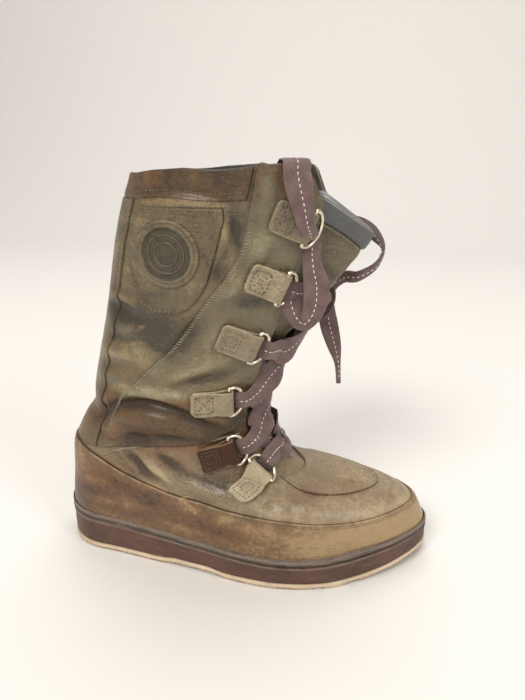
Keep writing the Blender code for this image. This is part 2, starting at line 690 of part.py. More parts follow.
def zip_rings(outer, hole):
    """Triangles between an outline and the hole inside it, both going the same way round."""
    centre = hole.mean(axis=0)
    def angles(ring):
        turn = np.arctan2(ring[:, 1] - centre[1], -(ring[:, 0] - centre[0])) + np.pi / 2
        return turn % (2 * np.pi)
    first, second = angles(outer), angles(hole)
    n, m = len(outer), len(hole)
    first, second = np.append(first, 2 * np.pi), np.append(second, second[0] + 2 * np.pi)
    faces, i, j = [], 0, 0
    while i < n or j < m:
        if j == m or (i < n and first[i + 1] <= second[j + 1]):
            faces.append([i, (i + 1) % n, n + j % m])
            i += 1
        else:
            faces.append([i % n, n + (j + 1) % m, n + j])
            j += 1
    return faces


def make_ring(name, x, z, lean, lift, side, finish):
    """Wire D-ring: its bar in the tab's fold, its bow towards the throat, a little raised."""
    place, back, bar, out = bar_frame(x, z, lean, side)
    rise = math.radians(RING_TURN)
    ahead = -back * math.cos(rise) + out * math.sin(rise)
    up = out * math.cos(rise) + back * math.sin(rise)
    start = place + out * (lift + FOLD_R)
    bow = np.radians([10, 42, 74, 106, 138, 170])
    path = [(-RING_HALF + 1.2 * MM, 0), (RING_HALF - 1.2 * MM, 0), (RING_HALF, 1.4 * MM)]
    path += [(RING_HALF * math.cos(t), 2.0 * MM + (RING_DEEP - 2.0 * MM) * math.sin(t)) for t in bow]
    path += [(-RING_HALF, 1.4 * MM)]
    path = np.array(path)
    along = unit(np.roll(path, -1, axis=0) - np.roll(path, 1, axis=0))
    across = np.column_stack([along[:, 1], -along[:, 0]])
    turn = np.arange(WIRE_SIDES) / WIRE_SIDES * 2 * np.pi
    flat = path[:, None, :] + across[:, None, :] * WIRE_R * np.cos(turn)[None, :, None]
    high = WIRE_R * np.sin(turn)[None, :, None]
    points = start + flat[..., :1] * bar + flat[..., 1:] * ahead + high * up
    rows, sides = points.shape[:2]
    faces = [[r * sides + c, r * sides + (c + 1) % sides,
              (r + 1) % rows * sides + (c + 1) % sides, (r + 1) % rows * sides + c]
             for r in range(rows) for c in range(sides)]
    return solid(name, points.reshape(-1, 3), faces, finish)


# ---- lace --------------------------------------------------------------------------------
LACE_WIDE = 17 * MM
LACE_THICK = 1.4 * MM
LACE_END_WIDE = 9 * MM    # gathered where it meets a ring
LACE_LIFT = 3.8 * MM      # over the tongue's front, at the middle of a crossing
LACE_END_LIFT = 5.6 * MM  # at a ring's bow
BOW_CLEAR = 1.0 * MM      # between a ring's bow and the lace's end

# loose end over the collar: u, v, lift above the skin, width
LACE_OVER = np.array([
    (0.118, 0.945, 11.0, 12), (0.130, 0.962, 10.4, 15), (0.139, 0.978, 8.6, 17),
    (0.143, 0.990, 5.4, 17), (0.144, 1.000, 3.2, 17)])
# lateral run between rings 5 and 6, x y z and width
LACE_RUN = np.array([
    (150.5, -30.5, 189.0, 13), (157.0, -32.0, 202.0, 16), (161.5, -33.0, 216.0, 17),
    (162.5, -33.6, 229.0, 16), (162.4, -33.8, 242.0, 12)]) * MM
# medial end: bow loop beyond the tongue, then the hanging end: x y z
LACE_TAIL = np.array([
    (168.0, 34.0, 250.0), (178.0, 31.0, 251.0), (189.0, 26.0, 250.0), (200.0, 19.0, 247.0),
    (208.0, 12.0, 241.0), (208.5, 7.0, 233.0), (201.0, 6.0, 226.5), (189.0, 7.0, 221.7),
    (181.1, 7.6, 215.3), (179.0, 7.6, 206.0), (178.5, 5.0, 193.0), (178.5, 2.0, 178.0),
    (179.5, 0.0, 162.0), (181.0, -1.0, 150.0), (182.0, -1.5, 141.0)]) * MM


def ribbon_mesh(points, normals, widths, thick, ends=None):
    """Corner points and faces of a flat band along a path; ends fixes its first and last width."""
    tangent = unit(np.gradient(points, axis=0))
    across = unit(np.cross(normals, tangent))
    if ends is not None:
        share = np.linspace(0, 1, len(points))
        first, last_one = np.clip(1 - share * 5, 0, 1), np.clip(share * 5 - 4, 0, 1)
        for axis, weight in zip(ends, (first, last_one)):
            sign = np.sign(np.sum(across * axis, axis=1, keepdims=True))
            across = unit(across * (1 - weight[:, None]) + axis * sign * weight[:, None])
    out = unit(np.cross(tangent, across))
    half = across * widths[:, None] / 2
    deep = out * thick / 2
    corners = np.stack([half + deep, -half + deep, -half - deep, half - deep], axis=1)
    faces = grid_quads(len(points), 4, ring=True)
    final = (len(points) - 1) * 4
    faces += [[3, 2, 1, 0], [final, final + 1, final + 2, final + 3]]
    return (points[:, None, :] + corners).reshape(-1, 3), faces


def ring_end(row, side, clear):
    """u, v and direction of the bar where the lace meets the bow of a ring."""
    _, x, z, lean, _, _ = row
    _, back, bar, _ = bar_frame(x * MM, z * MM, lean, side)
    reach = RING_DEEP + WIRE_R + clear
    u, v = side_uv(np.array(x * MM - back[0] * reach), np.array(z * MM - back[2] * reach), side)
    return float(u), float(v), bar


def lace_place(u, v, lift):
    """Point over the closed front and over the tongue where it flops forward."""
    near = np.minimum(u, 1 - u)
    middle = np.clip(1 - near / PROW_HALF, 0, 1)
    place = off_last(u, v, lift)
    place[..., 0] += PROW * ease(v, 0.70, 0.925) * ease(middle, 0, 0.95)
    return place


def lace_band(name, start, end, finish, extra):
    """One bar of lace between two ring ends."""
    share = np.linspace(0, 1, 9)
    u = start[0] + ((end[0] - 1) - start[0]) * share
    v = start[1] + (end[1] - start[1]) * share
    rise = np.sin(np.pi * share)
    lift = LACE_END_LIFT + (LACE_LIFT - LACE_END_LIFT) * rise + extra * rise
    points = lace_place(u % 1.0, v, lift)
    width = LACE_END_WIDE + (LACE_WIDE - LACE_END_WIDE) * np.clip(rise * 1.6, 0, 1)
    corners, faces = ribbon_mesh(points, outward(u % 1.0, v), width, LACE_THICK,
                                 (start[2], end[2]))
    return solid(name, corners, faces, finish)


def make_lace_crossings(finish):
    """The lace's bars from ring 1 up to ring 5, joined where they cross and where they meet."""
    rows = RING_ROWS[:5]
    pairs = [(0, 0)] + [pair for i in range(4) for pair in ((i, i + 1), (i + 1, i))]
    whole = None
    for number, (low, high) in enumerate(pairs):
        clear = BOW_CLEAR + 0.1 * MM * (number % 3)
        start, end = ring_end(rows[low], -1, clear), ring_end(rows[high], 1, clear)
        band = lace_band("lace_bar_%d" % number, start, end, finish, 0.35 * MM * (number % 2))
        if whole is None:
            whole = band
            whole.name = "lace_crossings"
            continue
        band.hide_render = True
        band.display_type = "WIRE"
        cut(whole, band, "UNION")
    bake(whole)
    return whole


def make_lace_over(finish):
    """Loose end from ring 6 up over the collar, stopping just inside."""
    u, v, lift, width = LACE_OVER.T
    outside = off_last(u, collar_v(u, v), lift * MM)
    out = outward(u, v)
    rim = last(u[-1:], collar_v(u[-1:], v[-1:]))
    over = rim + out[-1:] * np.array([[2.4], [-2.0], [-6.8], [-10.4]]) * MM
    over[:, 2] += np.array([3.2, 5.0, 3.4, -0.5]) * MM
    down = np.array([0.975, 0.945, 0.910, 0.880])
    inside = off_last(np.full(len(down), u[-1]), down, np.full(len(down), -12.0 * MM))
    up = np.array([0, 0, 1.0])
    turn = np.radians([35, 80, 125, 165])[:, None]
    over_out = out[-1] * np.cos(turn) + up * np.sin(turn)
    points = np.vstack([outside, over, inside])
    normals = np.vstack([out, over_out, -np.repeat(out[-1:], len(down), axis=0)])
    width = np.concatenate([width, np.full(len(over) + len(down), 17.0)]) * MM
    corners, faces = ribbon_mesh(points, normals, width, LACE_THICK)
    return solid("lace_end_lateral", corners, faces, finish)


def make_lace_run(name, side, finish):
    """Slack run between rings 5 and 6, beside the tongue."""
    rows = LACE_RUN * np.array([1, -side, 1, 1])
    points = smooth_rows(rows, np.linspace(0, 1, 9))
    normal = unit(np.array([0.25, side * 1.0, 0.0]))
    corners, faces = ribbon_mesh(points[:, :3], np.tile(normal, (9, 1)), points[:, 3], LACE_THICK)
    return solid(name, corners, faces, finish)


def make_lace_tail(finish):
    """Medial end: loops out beyond the tongue and hangs."""
    count = 34
    points = smooth_rows(LACE_TAIL, np.linspace(0, 1, count))
    share = np.linspace(0, 1, count)
    turn = np.radians(np.interp(share, [0, 0.25, 0.36, 0.5, 0.7, 1], [90, 80, 10, -50, -75, -62]))
    normals = np.column_stack([np.cos(turn), np.sin(turn), 0 * turn])
    width = LACE_WIDE * np.interp(share, [0, 0.05, 0.8, 0.93, 1], [0.7, 0.9, 0.95, 0.3, 0.2])
    corners, faces = ribbon_mesh(points, normals, width, LACE_THICK)
    return solid("lace_end_medial", corners, faces, finish)


# ---- build -------------------------------------------------------------------------------
olive = material("olive leather", (0.115, 0.095, 0.055), 0.45)
brown = material("brown leather", (0.14, 0.085, 0.045), 0.5)
rubber_brown = material("brown rubber", (0.06, 0.035, 0.028), 0.5)
rubber_grey = material("grey rubber", (0.12, 0.11, 0.10), 0.6)
rubber_pale = material("pale rubber", (0.6, 0.44, 0.33), 0.6)
lining = material("grey lining", (0.07, 0.08, 0.09), 0.5)
felt = material("insole felt", (0.25, 0.2, 0.15), 0.9)
nickel = material("nickel", (0.75, 0.7, 0.6), 0.25, 1.0)
webbing = material("lace webbing", (0.1, 0.06, 0.07), 0.8)

make_outsole(rubber_pale)
make_sidewall(rubber_brown)
make_bead(rubber_grey)
make_insole(felt)
make_upper(olive)
make_tongue(olive, lining)
make_rand(brown)
make_apron(brown)
make_front_panel("front_panel_lateral", -1, olive)
make_front_panel("front_panel_medial", 1, olive)
make_back_stay(brown)
make_collar_band(olive)
make_shield(olive)
make_medallion(olive)
for number, x, z, lean, length, lift in RING_ROWS:
    for side, word in ((-1, "lateral"), (1, "medial")):
        place = (x * MM, z * MM, lean)
        make_tab("tab_%s_%s" % (word, number), *place, length * MM, lift * MM, side, olive)
        make_ring("ring_%s_%s" % (word, number), *place, lift * MM, side, nickel)
make_lace_crossings(webbing)
make_lace_over(webbing)
make_lace_run("lace_run_lateral", -1, webbing)
make_lace_run("lace_run_medial", 1, webbing)
make_lace_tail(webbing)
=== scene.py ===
# %% [markdown]
# # A right mukluk, dressed over its frame
# The frame gives every sub-part as a plain faceted solid, in metres, with the toe towards +X,
# the lateral (outer) side towards -Y and the floor at z = 0. This lesson lays real surfaces
# over it: oiled leather with creases and stitching, rubber, wire rings and a woven lace.
# Every surface is a function of two parameters, worked out with numpy on a grid.

# %% Load the frame
import math

import bpy
import numpy as np
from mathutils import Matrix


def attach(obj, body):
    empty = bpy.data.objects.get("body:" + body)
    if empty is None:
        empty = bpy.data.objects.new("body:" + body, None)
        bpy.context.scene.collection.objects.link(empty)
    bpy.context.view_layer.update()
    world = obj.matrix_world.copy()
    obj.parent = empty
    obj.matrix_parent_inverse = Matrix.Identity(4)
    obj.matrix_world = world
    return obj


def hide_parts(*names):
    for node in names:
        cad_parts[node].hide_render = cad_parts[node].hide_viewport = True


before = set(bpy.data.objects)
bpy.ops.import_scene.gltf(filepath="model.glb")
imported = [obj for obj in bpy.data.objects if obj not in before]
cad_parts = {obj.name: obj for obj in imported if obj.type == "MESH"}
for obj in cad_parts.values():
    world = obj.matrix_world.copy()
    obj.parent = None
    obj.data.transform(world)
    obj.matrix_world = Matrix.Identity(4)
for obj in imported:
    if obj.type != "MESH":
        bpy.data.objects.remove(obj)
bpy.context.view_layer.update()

MM = 0.001

# %% [markdown]
# ## Camera
# The camera comes first, because the free ends of the lace are judged against its view. It
# stands a little above the collar, looks down at the outer side and is turned slightly so
# that some of the throat shows. A fixed lens and no shift keep other views honest.

# %% Camera
CAMERA_AT = (0.1858, -0.3690, 0.2943)
CAMERA_PITCH = 19.2       # degrees below the horizon
CAMERA_TURN = 9.5         # degrees, anticlockwise seen from above
CAMERA_LENS, CAMERA_SENSOR = 28.08, 36.0      # mm
lens = bpy.data.cameras.new("camera")
lens.lens, lens.sensor_width, lens.clip_start = CAMERA_LENS, CAMERA_SENSOR, 0.01
camera = bpy.data.objects.new("camera", lens)
camera.location = CAMERA_AT
camera.rotation_euler = (math.radians(90 - CAMERA_PITCH), 0, math.radians(CAMERA_TURN))
bpy.context.collection.objects.link(camera)
bpy.context.scene.camera = camera
print("camera at", CAMERA_AT, "m, pitch", CAMERA_PITCH, "degrees")

# %% [markdown]
# ## The last
# Boot makers start from a last, and so does this script. Rows of a short table give rings
# from the feather line up to the collar, and a curve through the rows fills in between. A
# point of the leather is found from two numbers: u goes round the boot (0 at the front, 0.25
# on the outer side, 0.5 at the back) and v goes up it (0 at the feather line, 1 at the
# collar). The frame was cut from the same last, so everything fits without measuring.

# %% Tables of the last
SOLE_HEEL_X = -35 * MM
SOLE_TOE_X = 253 * MM
BALL_HALF = 51 * MM
HEEL_ROUND = 36 * MM
TOE_ROUND = 72 * MM
WALL = 2.2 * MM           # thickness of the leather
GAP = 0.3 * MM            # between two pieces that meet

# x, centre line y, half width before the ends are rounded
SOLE_PLAN = np.array([
    (-36, -0.5, 34.0),
    (0, 0.6, 35.5),
    (42, -2.2, 38.7),
    (84, -5.0, 43.0),
    (124, -5.5, 49.0),
    (150, -3.9, 51.0),
    (175, -0.8, 49.6),
    (200, 3.5, 45.0),
    (222, 7.2, 41.5),
    (240, 10.0, 38.0),
    (253, 11.0, 35.0),
]) * MM

#  back_x back_z front_x front_z half centre like_sole dip fullness
UPPER_ROWS = np.array([
    (-32.0, 29.0, 246.5, 27.0, 46.0, 0.0, 1.00, 8.5, 2.0),   # feather line
    (-31.0, 38.0, 246.0, 37.0, 47.0, 0.0, 1.00, 8.0, 2.0),
    (-29.5, 50.0, 241.0, 47.0, 47.0, 0.0, 1.00, 6.0, 2.0),
    (-28.0, 62.0, 232.0, 54.0, 45.0, 0.0, 0.95, 3.5, 2.1),
    (-27.0, 74.0, 216.0, 58.5, 42.0, 0.0, 0.85, 1.5, 2.2),
    (-25.5, 86.0, 192.0, 61.5, 39.5, 0.0, 0.70, 0.0, 2.3),
    (-20.0, 98.0, 167.0, 66.0, 38.0, 0.0, 0.50, 0.0, 2.3),
    (-13.0, 110.0, 149.0, 74.0, 37.0, 0.0, 0.30, 0.0, 2.3),   # throat begins
    (-5.0, 121.0, 135.0, 87.0, 36.5, 0.0, 0.15, 0.0, 2.3),
    (-3.0, 134.0, 125.0, 105.0, 40.0, 0.0, 0.05, 0.0, 2.2),   # ankle
    (1.0, 151.0, 122.0, 124.0, 41.0, 0.0, 0.00, 0.0, 2.2),
    (7.0, 171.0, 128.0, 147.0, 43.0, 0.0, 0.00, 0.0, 2.2),
    (12.5, 192.0, 138.0, 174.0, 45.0, 0.0, 0.00, 0.0, 2.2),
    (17.5, 215.0, 149.0, 203.0, 46.5, 0.0, 0.00, 0.0, 2.2),
    (22.5, 238.0, 160.0, 232.0, 47.5, 0.0, 0.00, 0.0, 2.2),
    (29.0, 262.0, 170.0, 261.0, 48.0, 0.0, 0.00, 0.0, 2.2),
    (38.0, 287.0, 177.0, 296.0, 48.0, 0.0, 0.00, 0.0, 2.2),   # collar
])
UPPER_ROWS[:, [0, 1, 2, 3, 4, 5, 7]] *= MM


# %% Small tools for curves and directions
def smooth_rows(rows, t):
    """Rows read at places t (0 first, 1 last): a Catmull-Rom cubic through every row."""
    n = len(rows) - 1
    padded = np.vstack([2 * rows[0] - rows[1], rows, 2 * rows[-1] - rows[-2]])
    s = np.clip(np.asarray(t, float), 0, 1) * n
    i = np.minimum(s.astype(int), n - 1)
    f = (s - i)[..., None]
    p0, p1, p2, p3 = padded[i], padded[i + 1], padded[i + 2], padded[i + 3]
    return 0.5 * (2 * p1 + (p2 - p0) * f + (2 * p0 - 5 * p1 + 4 * p2 - p3) * f**2
                  + (3 * p1 - p0 - 3 * p2 + p3) * f**3)


def table_at(table, x):
    """Columns of a table read at x, its first column, along a smooth curve."""
    n = len(table) - 1
    return smooth_rows(table, np.interp(x, table[:, 0], np.arange(n + 1)) / n)


def ease(x, start, end):
    """0 before start, 1 after end, and the smooth step 3t^2 - 2t^3 between."""
    t = np.clip((x - start) / (end - start), 0, 1)
    return t * t * (3 - 2 * t)


def unit(v):
    """Vectors over their own lengths."""
    return v / np.maximum(np.linalg.norm(v, axis=-1, keepdims=True), 1e-12)


def distance_along(points):
    """Length of a line of points from its first point to each of them."""
    return np.concatenate([[0], np.cumsum(np.linalg.norm(np.diff(points, axis=0), axis=1))])


def bell(x):
    """exp(-x^2), the soft hump used for creases, stains and rounded edges."""
    return np.exp(-np.square(x))


# %% The last as a function of u and v
def sole_width(x):
    """Half width at x: the table's width times a quarter ellipse at heel and at toe."""
    full = table_at(SOLE_PLAN, x)[..., 2]
    heel = np.clip((SOLE_HEEL_X + HEEL_ROUND - x) / HEEL_ROUND, 0, 1)
    toe = np.clip((x - SOLE_TOE_X + TOE_ROUND) / TOE_ROUND, 0, 1)
    return full * np.sqrt(1 - heel**2) * np.sqrt(1 - toe**2)


def sole_centre(x):
    """y of the sole's middle line at x."""
    return table_at(SOLE_PLAN, x)[..., 1]


def along_sole(a):
    """x on the sole, for a from -1 at the heel's end to 1 at the toe's end."""
    return SOLE_HEEL_X + (SOLE_TOE_X - SOLE_HEEL_X) * (1 + a) / 2


def hand_at(u):
    """-1 where u is on the outer side, 1 where it is on the inner side."""
    return np.where(np.sin(2 * np.pi * u) >= 0, -1, 1)


def on_side(u, side):
    """u of the outer side as it is for -1, and mirrored to the inner side for 1."""
    return u if side < 0 else 1 - u


def dip(a):
    """Dip of the sole's top line, 1 at the ball, for a from -1 at the heel to 1 at the toe."""
    spread = np.where(a < 0.3, 0.85, 0.5)
    return bell((a - 0.3) / spread)


def last(u, v):
    """Ring v's ends give x and z along cos(2 pi u); the width blends sole plan and oval."""
    u, v = np.broadcast_arrays(np.asarray(u, float), np.asarray(v, float))
    row = np.moveaxis(smooth_rows(UPPER_ROWS, v), -1, 0)
    back_x, back_z, front_x, front_z, half, centre, like_sole, sag, full = row
    a = np.cos(2 * np.pi * u)
    sole_x = along_sole(a)
    plan = sole_width(sole_x) / BALL_HALF
    oval = np.clip(1 - np.abs(a) ** full, 0, 1) ** (1 / full)
    width = half * (like_sole * plan + (1 - like_sole) * oval)
    x = back_x + (front_x - back_x) * (1 + a) / 2
    y = like_sole * sole_centre(sole_x) + (1 - like_sole) * centre + hand_at(u) * width
    z = back_z + (front_z - back_z) * (1 + a) / 2 - sag * dip(a)
    return np.stack([x, y, z], -1)


def outward(u, v):
    """Unit normal: the cross product of the directions up and round the last."""
    step = 2e-3
    low, high = np.clip(v - step, 0, 1), np.clip(v + step, 0, 1)
    round_it = last(u + step, v) - last(u - step, v)
    up_it = last(u, high) - last(u, low)
    return unit(np.cross(up_it, round_it))


def off_last(u, v, distance):
    """The point that lies a distance off the last, along its normal."""
    return last(u, v) + outward(u, v) * np.asarray(distance)[..., None]


def side_uv(x, z, side):
    """u, v of the point seen at x, z from the side (-1 outer, 1 inner), by bisection."""
    x, z = np.asarray(x, float), np.asarray(z, float)
    low, high = np.full(x.shape, 0.25), np.ones(x.shape)
    for _ in range(24):
        v = (low + high) / 2
        row = np.moveaxis(smooth_rows(UPPER_ROWS, v), -1, 0)
        run, rise = row[2] - row[0], row[3] - row[1]
        above = run * (z - row[1]) - rise * (x - row[0]) > 0
        low, high = np.where(above, v, low), np.where(above, high, v)
    a = np.clip(2 * (x - row[0]) / run - 1, -1, 1)
    u = np.arccos(a) / (2 * np.pi)
    return np.where(side < 0, u, 1 - u), v


collar_ring = last(np.linspace(0, 1, 181), 1.0)
print("collar girth: %.0f mm" % (distance_along(collar_ring)[-1] / MM))

# %% [markdown]
# ## Working parts for every piece
# Leather, rubber and lace are all thin skins, so one way of making meshes serves them all: a
# grid of points worked out in one go, closed where its edges meet, and turned the right way
# out by the sign of the volume it holds. Blender could also extrude or solidify flat pieces,
# but a skin computed on the last follows every curve of the boot at once.

# %% Meshes from grids
def grid_faces(rows, columns, ring=False):
    """Corner numbers of every cell of a grid; ring joins the last column to the first."""
    across = columns if ring else columns - 1
    cells = np.meshgrid(np.arange(rows - 1), np.arange(across), indexing="ij")
    r, c = (numbers.ravel() for numbers in cells)
    right = (c + 1) % columns
    return np.stack([r * columns + c, r * columns + right,
                     (r + 1) * columns + right, (r + 1) * columns + c], 1)


def weld(points, faces, kinds):
    """Points nearer than a micrometre made one; a cell that loses a corner is a triangle."""
    _, first, number = np.unique(np.round(points, 6), axis=0, return_index=True,
                                 return_inverse=True)
    faces = number.reshape(-1)[faces]
    repeat = faces == np.roll(faces, -1, axis=1)
    whole, three = repeat.sum(1) == 0, repeat.sum(1) == 1
    triangles = faces[three][~repeat[three]].reshape(-1, 3)
    return first, faces[whole], triangles, np.concatenate([kinds[whole], kinds[three]])


def enclosed(points, quads, triangles):
    """Six times the volume inside: the sum of the triple products of the faces' corners."""
    fan = np.concatenate([quads[:, [0, 1, 2]], quads[:, [0, 2, 3]], triangles])
    a, b, c = (points[fan[:, i]] for i in range(3))
    return float(np.sum(a * np.cross(b, c)))


def piece(name, points, faces, finishes, stands_for=(), marks=None, kinds=None,
          sharp=None):
    """A closed mesh object that rides on the frame; marks are numbers kept at its points."""
    points = np.asarray(points, float).reshape(-1, 3)
    kinds = np.zeros(len(faces), int) if kinds is None else kinds
    first, quads, triangles, kinds = weld(points, faces, kinds)
    points = points[first]
    if enclosed(points, quads, triangles) < 0:
        quads, triangles = quads[:, ::-1], triangles[:, ::-1]
    mesh = bpy.data.meshes.new(name)
    corners = np.concatenate([quads.ravel(), triangles.ravel()]).astype(np.int32)
    sizes = np.concatenate([np.full(len(quads), 4), np.full(len(triangles), 3)])
    starts = np.concatenate([[0], np.cumsum(sizes)[:-1]]).astype(np.int32)
    mesh.vertices.add(len(points))
    mesh.vertices.foreach_set("co", points.astype(np.float32).ravel())
    mesh.loops.add(len(corners))
    mesh.loops.foreach_set("vertex_index", corners)
    mesh.polygons.add(len(sizes))
    mesh.polygons.foreach_set("loop_start", starts)
    mesh.polygons.foreach_set("material_index", kinds.astype(np.int32))
    mesh.update(calc_edges=True)
    for key, values in (marks or {}).items():
        kept = np.asarray(values, float).reshape(-1)[first].astype(np.float32)
        attribute = mesh.attributes.new(name=key, type="FLOAT", domain="POINT")
        attribute.data.foreach_set("value", kept)
    for finish in finishes if isinstance(finishes, (list, tuple)) else [finishes]:
        mesh.materials.append(finish)
    mesh.shade_smooth()
    if sharp is not None:
        mesh.set_sharp_from_angle(angle=math.radians(sharp))
    made = bpy.data.objects.new(name, mesh)
    bpy.context.collection.objects.link(made)
    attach(made, "root")
    if stands_for:
        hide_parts(*stands_for)
    print("%-24s %7d triangles" % (name, 2 * len(quads) + len(triangles)))
    return made


def rim_loops(rows, columns, ring):
    """The closed lines of points round a grid's edges, each in order."""
    top = np.arange(columns)
    low = top + (rows - 1) * columns
    if ring:
        return [top, low[::-1]]
    right = np.arange(1, rows - 1) * columns + columns - 1
    left = np.arange(1, rows - 1) * columns
    return [np.concatenate([top, right, low[::-1], left[::-1]])]


def skin_faces(rows, columns, ring=False):
    """Faces of two like grids, one over the other, and of the walls that join their edges."""
    n = rows * columns
    upper = grid_faces(rows, columns, ring)
    faces = [upper, upper[:, ::-1] + n]
    for loop in rim_loops(rows, columns, ring):
        ahead = np.roll(loop, -1)
        faces.append(np.stack([ahead, loop, loop + n, ahead + n], 1))
    return np.concatenate(faces)


def tube(name, grid, finish, stands_for=(), marks=None, sharp=None):
    """A piece of one grid, whose last column joins the first."""
    faces = grid_faces(*grid.shape[:2], ring=True)
    return piece(name, grid, faces, finish, stands_for, marks, sharp=sharp)


def both(values):
    """Marks that the two skins of a piece share."""
    return np.stack([values] * 2)


# %% Steps along a piece, close together at its rounded edges
EDGE_SHARES = np.array([0, 0.06, 0.2, 0.45, 0.75, 1.0])


def edge_steps(length, spacing, edge):
    """Places 0 to 1 along a length: crowded over the edge at both ends, then spacing apart."""
    fine = EDGE_SHARES * edge / length
    count = max(3, int((length - 2 * edge) / spacing))
    body = np.linspace(fine[-1], 1 - fine[-1], count + 1)
    return np.concatenate([fine[:-1], body, 1 - fine[-2::-1]])


def rim_distance(skin, ring=False):
    """Distance along the grid's own lines from each point to the nearest edge of the grid."""
    down = np.cumsum(np.linalg.norm(np.diff(skin, axis=0, prepend=skin[:1]), axis=2), axis=0)
    near = np.minimum(down, down[-1:] - down)
    if ring:
        return near
    steps = np.diff(skin, axis=1, prepend=skin[:, :1])
    across = np.cumsum(np.linalg.norm(steps, axis=2), axis=1)
    return np.minimum(near, np.minimum(across, across[:, -1:] - across))


def quarter_round(distance, edge):
    """Height of a rounded edge: a quarter circle that rises from 0 to 1 over the edge."""
    return np.sqrt(1 - np.square(1 - np.clip(distance / edge, 0, 1)))
